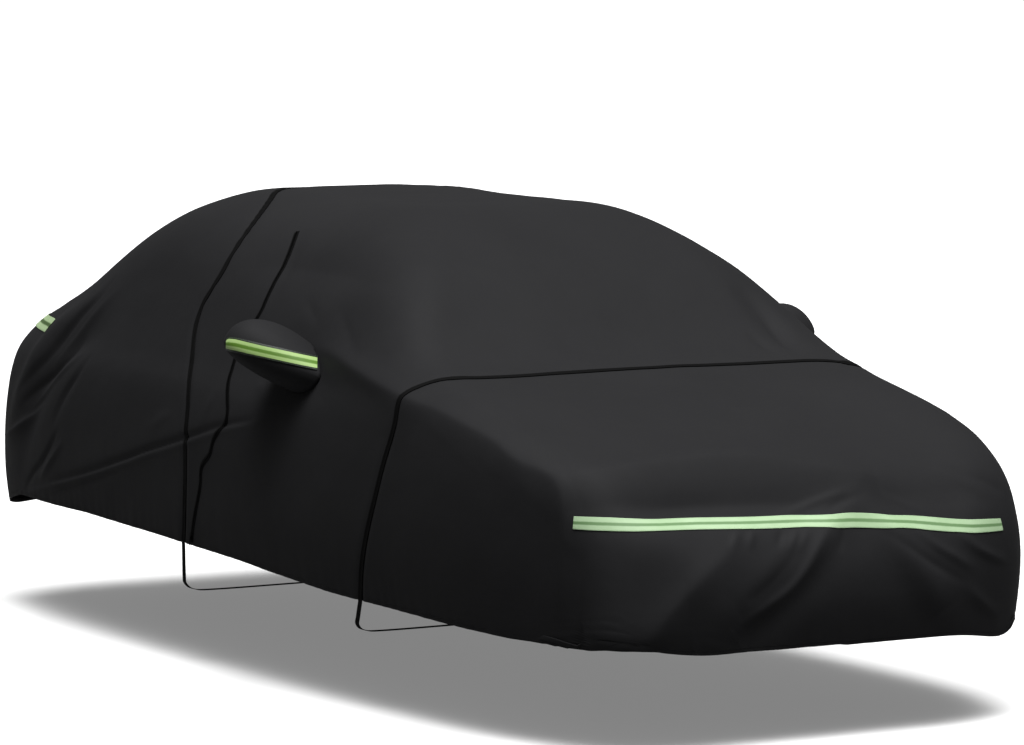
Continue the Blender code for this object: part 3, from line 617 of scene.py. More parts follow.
def belongs(obj, slot, *nodes):
    """The piece rides on the cover and stands for the nodes, which are hidden. The slot is not used.
    """
    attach(obj, "root")
    if nodes:
        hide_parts(*nodes)
    triangles = sum(len(face.vertices) - 2 for face in obj.data.polygons)
    print(f"{obj.name}: {triangles} triangles")
    return obj


# %% The mirror pockets' ovals
# Columns: name, side, base height, depth, tip lift (side -1 is the right).
POCKETS = (
    ("mirror_pocket_right", -1, 1.018, 0.227, 0.092),
    ("mirror_pocket_left", 1, 1.015, 0.250, 0.062),
)
POCKET_BASE_Y = -0.460
POCKET_HALF_LENGTH, POCKET_HALF_HEIGHT = 0.145, 0.072
POCKET_TILT = math.radians(-8)
OPENING_SHARE = 0.62        # how large the cut-out is beside the pocket's base
OUT_AT_SIDE = 0.6           # farther from the centre plane than this lies only the cover's side


def on_oval(pocket, y, z):
    """Where a point lies over a pocket's base, as shares of its half length and height."""
    y, height = y - POCKET_BASE_Y, z + ROOF_HEIGHT - pocket[2]
    turn, slope = math.cos(POCKET_TILT), math.sin(POCKET_TILT)
    return (y * turn - height * slope) / POCKET_HALF_LENGTH, (
        height * turn + y * slope) / POCKET_HALF_HEIGHT


def off_oval(pocket, along, up):
    """The point of the base at those shares: y and z."""
    y, height = along * POCKET_HALF_LENGTH, up * POCKET_HALF_HEIGHT
    turn, slope = math.cos(POCKET_TILT), math.sin(POCKET_TILT)
    return (POCKET_BASE_Y + y * turn + height * slope,
            pocket[2] - ROOF_HEIGHT + height * turn - y * slope)


# %% The cover's sheet
sheet_tree = grid_tree(sheet_points)
sheet_normals = grid_normals(sheet_points)
cover = flat_piece("cover_sheet", sheet_points)


def cut_openings(obj):
    """Delete the cells inside each oval. The pocket's larger base hides the ragged edge."""
    for pocket in POCKETS:
        pick_none("FACE")
        cut = 0
        for face in obj.data.polygons:
            if face.center.x * pocket[1] > OUT_AT_SIDE:
                face.select = math.hypot(*on_oval(pocket, *face.center.yz)) < OPENING_SHARE
                cut += face.select
        bpy.ops.object.mode_set(mode="EDIT")
        bpy.ops.mesh.delete(type="FACE")
        bpy.ops.object.mode_set(mode="OBJECT")
        print("opening for", pocket[0], "-", cut, "cells")


cut_openings(cover)
belongs(cover, "black_cloth", "cover_cloth")

# %% [markdown]
# ## The hem
# On the real cover the cloth's edge is turned in twice over a band of elastic and stitched. The
# mesh's last rows could be folded in, but they are uneven there. So a thick, soft band is swept
# along the inside of the sheet's four edges and follows every ripple, and one row of stitches
# shows on the outside.

# %% The hem band
HEM_WIDTH, HEM_THICKNESS = 0.016, 0.0040
HEM_GAP = 0.0010    # between the cloth and the band
HEM_SIDES = 10      # points round the band's section
BAND_MIDDLE, STITCH_ROW = 0.42, 0.80    # how far above the edge, as shares of the band's width
HEM_REACH = 0.02            # how far from the cloth a place may lie and still be cast back on it
WAY_BLENDS, LINE_BLENDS = 12, 3         # how often the band's directions and its line are smoothed


def loop_blend(values):
    """Each value of a loop, with half of each neighbour added to it."""
    return values + 0.5 * (np.roll(values, 1, axis=0) + np.roll(values, -1, axis=0))


def hem_line():
    """The sheet's edge as a loop: each place, the way up the cloth and the way out of it."""
    rows, columns = sheet_points.shape[:2]
    last_row, last_column = rows - 1, columns - 1
    loop = [(0, c, 1, 0) for c in range(columns)]
    loop += [(r, last_column, 0, -1) for r in range(1, rows)]
    loop += [(last_row, c, -1, 0) for c in range(last_column - 1, -1, -1)]
    loop += [(r, 0, 0, 1) for r in range(last_row - 1, 0, -1)]
    edge = np.array([sheet_points[r, c] for r, c, _, _ in loop])
    out = np.array([sheet_normals[r + 3 * dr, c + 3 * dc] for r, c, dr, dc in loop])
    along = np.roll(edge, -1, axis=0) - np.roll(edge, 1, axis=0)
    up = np.tile((0.0, 0.0, 1.0), (len(edge), 1))
    for way in (along, out):
        up -= way * ((up * way).sum(-1) / (way ** 2).sum(-1))[:, None]
    up = unit(up)
    for _ in range(WAY_BLENDS):
        up, out = unit(loop_blend(up)), unit(loop_blend(out))
    return edge, up, out


def cast_back(place, out, reach):
    """Where the cloth lies straight over or under a place, if it is within reach."""
    hit = sheet_tree.ray_cast(Vector(place + out * reach), Vector(-out), 2 * reach)[0]
    return place if hit is None else np.array(hit)


def above_hem(share):
    """The line on the cloth that runs this share of the band's width above its edge."""
    line = np.array([cast_back(place + way_up * HEM_WIDTH * share, way_out, HEM_REACH)
                     for place, way_up, way_out in zip(edge, up, out)])
    for _ in range(LINE_BLENDS):
        line = 0.5 * loop_blend(line)
    return line


def swept_loop(name, centres, wide, thick, width, thickness, sides):
    """A closed band with a rounded section, through a loop of places."""
    turn = np.linspace(0, 2 * math.pi, sides, endpoint=False)
    flat = np.sign(np.cos(turn)) * np.abs(np.cos(turn)) ** 0.5 * width / 2
    tall = np.sign(np.sin(turn)) * np.abs(np.sin(turn)) ** 0.8 * thickness / 2
    ring = centres[:, None] + wide[:, None] * flat[None, :, None]
    ring = ring + thick[:, None] * tall[None, :, None]
    closed = np.concatenate([ring, ring[:1]])
    closed = np.concatenate([closed, closed[:, :1]], axis=1)
    obj = flat_piece(name, closed)
    mend(merge=True, turn_out=True)
    return obj


edge, up, out = hem_line()
hem = swept_loop("hem_band", above_hem(BAND_MIDDLE) - out * (HEM_THICKNESS / 2 + HEM_GAP), up, out,
                 HEM_WIDTH, HEM_THICKNESS, HEM_SIDES)
belongs(hem, "black_cloth")
hem_length = run_along(np.vstack([edge, edge[:1]]))[-1]
print("the hem is", round(float(hem_length), 2), "m long")

# %% The hem's stitches
STITCH, STITCH_PITCH = (0.0011, 0.0034, 0.0011), 0.0048   # across, along and up; to the next
STITCH_RISE = 0.0003        # how far a stitch's middle lies above the cloth


def small_boxes(name, centres, axes, size):
    """Many small boxes in one piece, each with its own three axes."""
    corner = np.array([(a, b, c) for a in (-0.5, 0.5) for b in (-0.5, 0.5) for c in (-0.5, 0.5)])
    corner = corner * size
    points = centres[:, None] + np.einsum("ck,nkx->ncx", corner, axes)
    faces = ((0, 1, 3, 2), (4, 6, 7, 5), (0, 4, 5, 1), (2, 3, 7, 6), (0, 2, 6, 4), (1, 5, 7, 3))
    mesh = bpy.data.meshes.new(name)
    mesh.from_pydata(points.reshape(-1, 3).tolist(), [],
                     [[8 * n + k for k in face] for n in range(len(points)) for face in faces])
    obj = bpy.data.objects.new(name, mesh)
    bpy.context.scene.collection.objects.link(obj)
    select_only(obj)
    mend(turn_out=True)
    return obj


def hem_stitches():
    """One row of stitches on the cloth, near the band's upper edge."""
    line = above_hem(STITCH_ROW) + out * STITCH_RISE
    run = run_along(line)
    at = np.arange(0, run[-1], STITCH_PITCH)
    places, ups, outs = (read_at(part, run, at) for part in (line, up, out))
    ahead = unit(np.gradient(places, axis=0))
    axes = np.stack([unit(ups), ahead, unit(outs)], axis=1)
    return small_boxes("hem_stitches", places, axes, STITCH)


stitches = hem_stitches()
belongs(stitches, "black_cloth")

# %% [markdown]
# ## Bands laid on the cloth
# Straps, the zip's tape and the reflective strips are all narrow bands that follow the cloth. A
# Shrinkwrap modifier could press a straight band onto it, but would shear it on the folds. So each
# starts as a path on the cloth and is widened to both sides, with every vertex cast back onto the
# folds, and lies on them everywhere. Solidify and Bevel then make it a real tape.

# %% A band on the cloth
BAND_REACH = 0.03           # as HEM_REACH, for places beside a band's path
CAST_FROM = 2.5             # metres from the cover's middle, well outside the cloth
FROM_OUTSIDE = -0.02        # a ray that comes from outside runs against the cloth's normal


def on_sheet(start, direction):
    """The first place where a ray meets the cloth, and the way out of the cloth there."""
    way = Vector(direction).normalized()
    place, normal = sheet_tree.ray_cast(Vector(start), way)[:2]
    if place is None or normal.dot(way) > FROM_OUTSIDE:     # past the hem, on the other side's inside
        return None, None
    return np.array(place), np.array(normal)


def even_path(found, step):
    """The places of a path at an even distance from each other, with smoothed normals."""
    places, normals = (np.array(part) for part in zip(*found))
    run = run_along(places)
    at = np.linspace(0, run[-1], max(int(run[-1] / step), 3) + 1)
    places, normals = read_at(places, run, at), read_at(normals, run, at)
    for _ in range(4):
        middle = normals[1:-1] + 0.5 * (normals[:-2] + normals[2:])
        normals = unit(np.vstack([normals[:1], middle, normals[-1:]]))
    return places, normals


def beside_path(places, normals, width, across, lift, taper=0.0):
    """Rows of points across a path, each on the cloth and lifted off it. taper says how much
    narrower the band is at its two ends than at its middle."""
    sideways = unit(np.cross(np.gradient(places, axis=0), normals))
    rows = []
    widths = width * (1 - taper * np.linspace(-1, 1, len(places)) ** 4)
    for place, out, side, width in zip(places, normals, sideways, widths):
        rows.append([cast_back(place + side * shift, out, BAND_REACH) + out * lift
                     for shift in np.linspace(-width / 2, width / 2, across)])
    return np.array(rows)


# %% [markdown]
# ### The two straps
# Flat elastic webbing goes over the cloth and right round underneath, and is closed to a loop.
# Below the hem it hangs free, turns inwards and runs straight across. A curve with a flat section
# would twist on the folds, and a band that is cast back onto the cloth lies flat on them.

# %% The straps
STRAP_WIDTH, STRAP_THICKNESS = 0.022, 0.0022
STRAP_EDGE = 0.0005         # how far its edges are rounded
STRAP_LIFT, STRAP_ACROSS = 0.0010, 7
STRAP_STEP = 0.014
STRAP_TURNS, STRAP_MARGIN = 0.35, 4     # degrees from one ray to the next, and past the table's end
STRAP_DRIFTS = {"strap_front": 0.045, "strap_rear": 0.0}    # towards the tail, below the hem
# Where it turns in underneath. Columns: x on the left side, height above the ground.
STRAP_TURN = ((0.940, 0.290), (0.935, 0.260), (0.905, 0.241), (0.830, 0.235))
HEM_OVERLAP, HEM_RISE = 0.050, 0.0012     # where and how far the strap rises over the hem


def strap_on_cloth(name):
    """The strap's path over the cloth, from the right hem to the left hem."""
    hub = np.array((0.0, 0.0, STRAP_HUB_HEIGHT - ROOF_HEIGHT))
    last = STRAPS[name][-1][0]
    found = []
    for angle in np.arange(-last - STRAP_MARGIN, last + STRAP_MARGIN + 0.01, STRAP_TURNS):
        turn = math.radians(angle)
        way = np.array((math.sin(turn), 0.0, math.cos(turn)))
        start = hub + way * CAST_FROM + np.array((0.0, strap_y(name, abs(angle)), 0.0))
        place, normal = on_sheet(start, -way)
        if place is not None:
            found.append((place, normal))
    return even_path(found, STRAP_STEP)


def below_hem(name, left_end, right_end):
    """The strap's free run from the left hem, underneath, to the right hem."""
    bottom = STRAP_TURN[-1][1]

    def leg(side, end):
        drop = end[2] + ROOF_HEIGHT
        return [(side * x, end[1] + STRAP_DRIFTS[name] * (drop - h) / (drop - bottom),
                 h - ROOF_HEIGHT) for x, h in STRAP_TURN]

    left, right = leg(1, left_end), leg(-1, right_end)
    run = [tuple(p) for p in np.linspace(left[-1], right[-1], 6)]
    line = smooth_curve([tuple(left_end), *left[:-1], *run, *right[-2::-1], tuple(right_end)], 6)
    return line[1:-1]


def make_strap(name):
    """One strap: a closed loop of webbing."""
    places, normals = strap_on_cloth(name)
    bands = beside_path(places, normals, STRAP_WIDTH, STRAP_ACROSS, STRAP_LIFT)
    run = run_along(places)
    to_end = np.minimum(run, run[-1] - run)
    over_hem = np.clip(1 - to_end / HEM_OVERLAP, 0, 1)
    over_hem = over_hem ** 2 * (3 - 2 * over_hem) * HEM_RISE
    bands += normals[:, None] * over_hem[:, None, None]
    free = below_hem(name, bands[-1].mean(0), bands[0].mean(0))
    ends = np.vstack([bands[-1].mean(0), free, bands[0].mean(0)])
    tangents = unit(ends[2:] - ends[:-2])
    outward = unit(np.cross(tangents, (0.0, 1.0, 0.0)))
    across = unit(np.cross(tangents, outward))
    shifts = np.linspace(-STRAP_WIDTH / 2, STRAP_WIDTH / 2, STRAP_ACROSS)
    hanging = free[:, None] + across[:, None] * shifts[None, :, None]
    loop = np.concatenate([bands, hanging, bands[:1]])
    obj = flat_piece(name + "_webbing", loop)
    mend(merge=True)
    thicken(obj, STRAP_THICKNESS, STRAP_EDGE)
    length = run_along(loop.mean(1))[-1]
    print(name, "is", round(float(length), 2), "m long")
    return belongs(obj, "black_webbing", name), length


straps = {name: make_strap(name) for name in STRAPS}

# %% [markdown]
# ### The zip
# A coil zip is a woven tape with two rows of small teeth, sewn into a slit in the cloth's right
# side, so that it can be opened there while the cover stays on. It is closed here. The teeth
# could be a bump in the tape's finish, but they stand up and catch the light, so each is a box.

# %% The zip's tape
ZIP_WIDTH, ZIP_THICKNESS, ZIP_LIFT, ZIP_ACROSS = 0.020, 0.0010, 0.0009, 5
TAPE_EDGE = 0.0003          # how far a tape's edges are rounded
# Columns: height, y.
ZIP_PATH = (
    (0.30, 0.205), (0.39, 0.165), (0.51, 0.115), (0.596, 0.085), (0.66, 0.078), (0.706, 0.022),
    (0.75, 0.004), (0.785, -0.028), (0.815, -0.065), (0.85, -0.068), (0.885, -0.045),
    (0.94, -0.005), (0.99, 0.014), (1.033, 0.024), (1.088, 0.011), (1.163, -0.007), (1.197, 0.001),
    (1.228, 0.012), (1.259, 0.027), (1.293, 0.044), (1.321, 0.060), (1.352, 0.081), (1.382, 0.109),
    (1.408, 0.145), (1.420, 0.165),
)
ZIP_TOP, ZIP_END, ZIP_STEP = 1.408, 0.405, 0.010
TOOTH, TOOTH_PITCH = (0.0036, 0.0016, 0.0016), 0.0030     # across, along and up; to the next
TOOTH_STAGGER = 0.0012      # how far the teeth stand to the left and right in turn
SLIDER, SLIDER_EDGE = (0.013, 0.018, 0.0045), 0.0007
# The pull's size, and how far it lies beyond the slider and above it.
PULL, PULL_AHEAD, PULL_RISE = (0.006, 0.032, 0.0016), 0.016, 0.0009


def zip_line():
    """The zip's path from its top to its foot."""
    heights = np.linspace(ZIP_TOP, ZIP_END, 200)
    ys = np.interp(heights, *np.array(smooth_curve(ZIP_PATH)).T)
    found = [on_sheet((-CAST_FROM, y, h - ROOF_HEIGHT), (1, 0, 0)) for y, h in zip(ys, heights)]
    return even_path([pair for pair in found if pair[0] is not None], ZIP_STEP)


zip_places, zip_normals = zip_line()
print("the zip is", round(float(run_along(zip_places)[-1]), 2), "m long")
tape = flat_piece("door_zip_tape",
                  beside_path(zip_places, zip_normals, ZIP_WIDTH, ZIP_ACROSS, ZIP_LIFT))
thicken(tape, ZIP_THICKNESS, TAPE_EDGE)
belongs(tape, "black_zip", "door_zip")

# %% The zip's teeth and slider


def axes_along(places, normals):
    """Three axes at each place of a path: across it, along it and out of the cloth."""
    ahead = unit(np.gradient(places, axis=0))
    return np.stack([unit(np.cross(ahead, normals)), ahead, normals], axis=1)


tooth_places, tooth_normals = even_path(list(zip(zip_places, zip_normals)), TOOTH_PITCH)
tooth_axes = axes_along(tooth_places, tooth_normals)
shift = np.where(np.arange(len(tooth_places)) % 2 == 0, TOOTH_STAGGER, -TOOTH_STAGGER)[:, None]
tape_top = ZIP_LIFT + ZIP_THICKNESS
teeth = small_boxes("door_zip_teeth", tooth_places + tooth_axes[:, 0] * shift
                    + tooth_normals * (tape_top + TOOTH[2] / 2), tooth_axes, TOOTH)
belongs(teeth, "black_zip")
foot = slice(-8, -7)        # the closed zip's slider stands at its foot, near the last tooth
slider = small_boxes("door_zip_slider", tooth_places[foot] + tooth_normals[foot]
                     * (tape_top + SLIDER[2] / 2), tooth_axes[foot], SLIDER)
pull = small_boxes("door_zip_pull", tooth_places[foot] + tooth_axes[foot, 1] * PULL_AHEAD
                   + tooth_normals[foot] * (tape_top + SLIDER[2] + PULL_RISE),
                   tooth_axes[foot], PULL)
for piece in (slider, pull):
    rounding = piece.modifiers.new("edges", "BEVEL")
    rounding.width, rounding.segments = SLIDER_EDGE, 2
    apply_all(piece)
    belongs(piece, "black_zip")

# %% [markdown]
# ### The reflective strips
# Each strip is a tape of three bands: two pale ones that shine and a greener one between them. It
# is one flat tape on the real cover too, so its bands are left to its finish.

# %% The strips on the nose and the tail
STRIP_WIDTH, STRIP_THICKNESS, STRIP_LIFT, STRIP_ACROSS = 0.048, 0.0012, 0.0014, 13
STRIP_FROM, STRIP_STEP = 2.2, 0.012
STRIP_ARC, STRIP_TURNS = 88, 0.5        # degrees to each side, and from one ray to the next
# The strips sag and rise a little, as they were sewn. Columns: x, height of the middle.
FRONT_STRIP = (
    (-0.805, 0.676), (-0.725, 0.674), (-0.581, 0.667), (-0.444, 0.663), (-0.251, 0.655),
    (-0.097, 0.651), (0.076, 0.646), (0.185, 0.638), (0.289, 0.628), (0.428, 0.611),
    (0.509, 0.603), (0.645, 0.597),
)
REAR_STRIP = ((-0.775, 1.010), (0.0, 1.000), (0.775, 1.010))
# Columns: name, path, width, centre y, facing, taper.
STRIPS = (
    ("strip_front", FRONT_STRIP, STRIP_WIDTH, -1.35, -1, 0.22),
    ("strip_rear", REAR_STRIP, 0.060, 1.20, 1, 0.0),
)


def make_strip(name, path, width, centre_y, facing, taper):
    """A strip where the cloth crosses a nearly level surface."""
    xs, heights = np.array(path).T
    found = []
    for turn in np.radians(np.arange(-STRIP_ARC, STRIP_ARC + 0.1, STRIP_TURNS)):
        way = np.array((math.sin(turn), facing * math.cos(turn), 0.0))
        level = np.interp(way[0], (-1, 1), heights[[0, -1]]) - ROOF_HEIGHT
        place, normal = on_sheet(np.array((0, centre_y, level)) + way * STRIP_FROM, -way)
        for _ in range(3):
            if place is not None:
                level = np.interp(place[0], xs, heights) - ROOF_HEIGHT
                place, normal = on_sheet(np.array((0, centre_y, level)) + way * STRIP_FROM, -way)
        if place is not None and xs[0] <= place[0] <= xs[-1]:
            found.append((place, normal))
    if facing > 0:
        found = found[::-1]
    places, normals = even_path(found, STRIP_STEP)
    band = beside_path(places, normals, width, STRIP_ACROSS, STRIP_LIFT, taper)
    obj = flat_piece(name + "_tape", band, STRIP_WIDTH)
    thicken(obj, STRIP_THICKNESS, TAPE_EDGE)
    return belongs(obj, "reflective", name)


strips = [make_strip(*row) for row in STRIPS]

# %% [markdown]
# ## The mirror pockets
# A mirror pocket is a small hood of the same cloth, sewn over an oval opening. It is blunt at its
# tip, swept back, and drawn in a little where it is sewn on. A stretched ball would come close to
# it, but rings that shrink from its base to its tip can start exactly on the folded sheet.

# %% The pockets
POCKET_SWEEP = 0.085        # how far its tip is swept back
POCKET_BLUNTNESS = (2.3, 0.60)      # powers of its dome: higher and lower ones are blunter
POCKET_FRONT_DROP = 0.30    # how much lower its front corner is than its middle
POCKET_CROWN = 0.078        # how much higher its top arches away from the base
POCKET_GATHER = 0.0016      # how high the gathers stand at the pocket's base
GATHER_FADE, GATHERS = 0.16, 31     # how far they reach towards the tip, and how many there are
TIP_SHARE, TIP_RADIUS = 0.02, 0.0045        # the smallest ring, which a single face closes
POCKET_THICKNESS = 0.0012
POCKET_SPOKES, POCKET_RINGS = 72, 26
POCKET_LIFT = 0.0022


def pocket_point(pocket, along, up, lift=POCKET_LIFT):
    """A point of a pocket over a point of its base, given in shares of its half sizes."""
    side, _, depth, tip_lift = pocket[1:]
    from_middle = min(math.hypot(along, up), 1.0)
    power, root = POCKET_BLUNTNESS
    share = (1 - from_middle ** power) ** root
    y, z = off_oval(pocket, along, up * (1 - POCKET_FRONT_DROP * max(-along, 0) * (up > 0)))
    z += POCKET_CROWN * max(up, 0) * share
    on_side = sheet_tree.ray_cast(Vector((side * 2.0, y, z)), Vector((-side, 0.0, 0.0)))[0]
    return (on_side.x + side * (lift + depth * share), y + POCKET_SWEEP * share,
            z + tip_lift * share)


def pocket_grid(pocket):
    """Points of a pocket, as rings from its tip to its base."""
    grid = []
    for ring in range(POCKET_RINGS + 1):
        share = max(math.sin(ring / POCKET_RINGS * math.pi / 2), TIP_SHARE)
        gather = POCKET_GATHER * math.exp(-(1 - ring / POCKET_RINGS) / GATHER_FADE)
        grid.append([pocket_point(pocket, share * math.cos(a), share * math.sin(a),
                                  POCKET_LIFT + gather * math.sin(GATHERS * a
                                                                  + 2 * math.sin(5 * a)))
                     for a in np.linspace(0, 2 * math.pi, POCKET_SPOKES + 1)])
    return np.array(grid)


def make_pocket(pocket, grid):
    """A domed ear of cloth whose edge lies on the sheet, round the opening."""
    name, side = pocket[:2]
    obj = flat_piece(name + "_cloth", grid)
    mend(merge=True)
    pick_none("EDGE")
    tip = grid[0].mean(0)
    for edge in obj.data.edges:
        ends = [np.array(obj.data.vertices[k].co) for k in edge.vertices]
        edge.select = all(np.linalg.norm(end - tip) < TIP_RADIUS for end in ends)
    bpy.ops.object.mode_set(mode="EDIT")
    bpy.ops.mesh.edge_face_add()
    bpy.ops.object.mode_set(mode="OBJECT")
    mend(turn_out=True)
    outward = sum(face.normal.x * face.area for face in obj.data.polygons) * side
    print(name, "faces outward" if outward > 0 else "faces inward")
    thicken(obj, POCKET_THICKNESS, offset=-1.0)
    return belongs(obj, "black_cloth", name)


pocket_grids = [pocket_grid(pocket) for pocket in POCKETS]
pockets = [make_pocket(pocket, grid) for pocket, grid in zip(POCKETS, pocket_grids)]

# %% The strip on the right pocket
# It is drawn over the picture, because it crosses the pocket as a straight line there, and is
# cast back onto the pocket. Columns: u, v of its top edge, v of its bottom edge.
POCKET_STRIP = (
    (222.0, 341.5, 345.5), (225, 339.0, 349.0), (230, 337.0, 351.2), (236, 337.5, 352.5),
    (248, 340.5, 355.5), (262, 344.0, 358.5), (280, 348.0, 362.5), (300, 352.5, 367.0),
    (321.5, 357.0, 371.5),
)
POCKET_STRIP_STEPS = 90


def make_pocket_strip(grid):
    """The strip along the front and outer face of the right pocket."""
    tree = grid_tree(grid)
    us, tops, bottoms = np.array(POCKET_STRIP).T
    band = []
    for u in np.linspace(us[0], us[-1], POCKET_STRIP_STEPS):
        top, bottom = np.interp(u, us, tops), np.interp(u, us, bottoms)
        row = cast(tree, [(u, v) for v in np.linspace(top, bottom, STRIP_ACROSS)])
        if len(row) == STRIP_ACROSS:
            band.append(row)
    band = np.array(band)
    raised = band + grid_normals(band) * STRIP_LIFT
    obj = flat_piece("strip_mirror_right_tape", raised, STRIP_WIDTH)
    print("pocket strip:", len(band), "rows of", POCKET_STRIP_STEPS)
    thicken(obj, STRIP_THICKNESS, TAPE_EDGE)
    return belongs(obj, "reflective", "strip_mirror_right")


strips.append(make_pocket_strip(pocket_grids[0]))

# %% [markdown]
# ## What each piece is made of
# Shader maths reads best as arithmetic, so a small class wraps a socket and turns Python's
# operators into Math nodes.

# %% Arithmetic on sockets


class Wire:
    """A socket that can be added, multiplied and so on, with a number or another socket."""

    def __init__(self, tree, socket):
        self.tree, self.socket = tree, socket

    def math(self, operation, *values):
        return add_node(self.tree, "Math", dict(enumerate(values)), operation=operation)

    def __add__(self, other):
        return self.math("ADD", self, other)

    def __sub__(self, other):
        return self.math("SUBTRACT", self, other)

    def __rsub__(self, other):
        return self.math("SUBTRACT", other, self)

    def __mul__(self, other):
        return self.math("MULTIPLY", self, other)

    def __truediv__(self, other):
        return self.math("DIVIDE", self, other)

    def __pow__(self, other):
        return self.math("POWER", self, other)

    def __gt__(self, other):
        return self.math("GREATER_THAN", self, other)

    def __lt__(self, other):
        return self.math("LESS_THAN", self, other)

    __radd__, __rmul__ = __add__, __mul__

    def sine(self):
        return self.math("SINE", self)

    def size(self):
        return self.math("ABSOLUTE", self)


def plug(tree, value, socket):
    """Link a wire to a socket, or set the socket to a plain value."""
    if isinstance(value, Wire):
        tree.links.new(value.socket, socket)
    else:
        socket.default_value = value


def add_node(tree, kind, sockets=(), output=0, **settings):
    """Any node: its settings come first, then the values or links of its sockets."""
    node = tree.nodes.new("ShaderNode" + kind)
    for name, value in settings.items():
        setattr(node, name, value)
    for socket, value in dict(sockets).items():
        plug(tree, value, node.inputs[socket])
    return Wire(tree, node.outputs[output])


class Finish:
    """A material in the making: one Principled shader and whatever feeds it."""

    def __init__(self, name, **fixed):
        self.material = bpy.data.materials.new(name)
        self.material.use_nodes = True
        self.tree = self.material.node_tree
        self.shader = self.tree.nodes["Principled BSDF"]
        for socket, value in fixed.items():
            self.shader.inputs[socket.replace("_", " ")].default_value = value

    def node(self, kind, sockets=(), output=0, **settings):
        return add_node(self.tree, kind, sockets, output, **settings)

    def noise(self, where, scale, detail=2.0, roughness=0.5):
        return self.node("TexNoise", {"Vector": where, "Scale": scale, "Detail": detail,
                                      "Roughness": roughness})

    def mix(self, share, first, second):
        """A colour between two colours, which are sockets 6 and 7 of a Mix node."""
        return self.node("Mix", {0: share, 6: first, 7: second}, 2, data_type="RGBA")

    def feed(self, **sockets):
        for socket, value in sockets.items():
            plug(self.tree, value, self.shader.inputs[socket.replace("_", " ")])

    def bump(self, *layers):
        """Bumps on top of each other. Each layer is a height wire and what 1 of it is in metres."""
        normal = None
        for height, distance in layers:
            sockets = {"Height": height, "Distance": distance, "Strength": 1.0}
            if normal:
                sockets["Normal"] = normal
            normal = self.node("Bump", sockets)
        self.feed(Normal=normal)

    def places(self):
        """The piece's own metres in space, and across and along its cloth."""
        solid = self.node("TexCoord", output=3)
        flat = self.node("SeparateXYZ", {"Vector": self.node("UVMap")})
        return solid, flat, Wire(self.tree, flat.socket.node.outputs[1])


# %% [markdown]
# ### Black coated polyester
# The cloth is a fine plain weave with a thin coating: nearly black, satin rather than shiny, with
# a faint lift where it is seen edge on. Soft crumples from its packing stay in it for long. The
# weave and the crumples are too fine for the mesh, so they are bumps in the finish.

# %% The cloth's finish
WEAVE = 0.0016      # metres from one rib of the weave to the next
RIB_HEIGHT, CRUMPLE_HEIGHT = 0.00004, 0.004
CLOTH_DARK, CLOTH_LIGHT = (0.0076, 0.0076, 0.0081, 1), (0.0106, 0.0106, 0.0112, 1)


def cloth_finish():
    finish = Finish("coated_polyester", Specular_IOR_Level=0.03)
    solid, across, along = finish.places()
    tone = finish.noise(solid, 2.2, 3.0, 0.55)
    fine = finish.noise(solid, 60.0, 2.0)
    finish.feed(Base_Color=finish.mix(tone * 0.7 + fine * 0.3, CLOTH_DARK, CLOTH_LIGHT),
                Roughness=0.50 + 0.16 * tone + 0.06 * fine)
    ribs = (across * (2 * math.pi / WEAVE)).sine() * (along * (2 * math.pi / WEAVE)).sine()
    crumple = finish.noise(solid, 6.0, 2.0, 0.4)
    finish.bump((crumple, CRUMPLE_HEIGHT), (ribs, RIB_HEIGHT))
    return finish.material


cloth_material = cloth_finish()
cloth_pieces = (cover, hem, stitches, *pockets)
for piece in cloth_pieces:
    piece.data.materials.append(cloth_material)
print("coated polyester on", len(cloth_pieces), "pieces")

# %% [markdown]
# ### Webbing, zip tape and reflective tape
# Elastic webbing and the zip's tape are twills, duller and blacker than the cloth. The reflective
# tape is set with tiny glass beads and stitched along both edges. Its three bands run along the
# piece's own unwrapping, so they follow every bend.

# %% The webbing, the zip's tape and the reflective strips
TWILL_HEIGHT, BEAD_HEIGHT, SEAM_HEIGHT = 0.00012, 0.0004, 0.0003
SEAM_PITCH = 0.006          # from one stitch of the strips' seams to the next
# Distances from a strip's middle, as shares of its width.
CORE_EDGE = (0.07, 0.17)    # where the middle band starts and ends to turn pale
SEAM_PLACE, SEAM_HALF_WIDTH = 0.44, 0.012
# The black is painted shade: a dark rim along a strip's edges, where shade lies beside the tape.
THREAD_GREEN, RIM_SHADE_BLACK = (0.10, 0.16, 0.09, 1), (0.004, 0.004, 0.004, 1)


def webbing_finish(name, rib, tone):
    finish = Finish(name, Specular_IOR_Level=0.03)
    solid, across, along = finish.places()
    grey = finish.noise(solid, 40.0, 3.0)
    dark, light = (tone * 0.8,) * 3 + (1,), (tone * 1.3,) * 3 + (1,)
    finish.feed(Base_Color=finish.mix(grey, dark, light), Roughness=0.62 + 0.15 * grey)
    twill = ((across + along) * (2 * math.pi / rib)).sine()
    finish.bump((twill, TWILL_HEIGHT))
    return finish.material


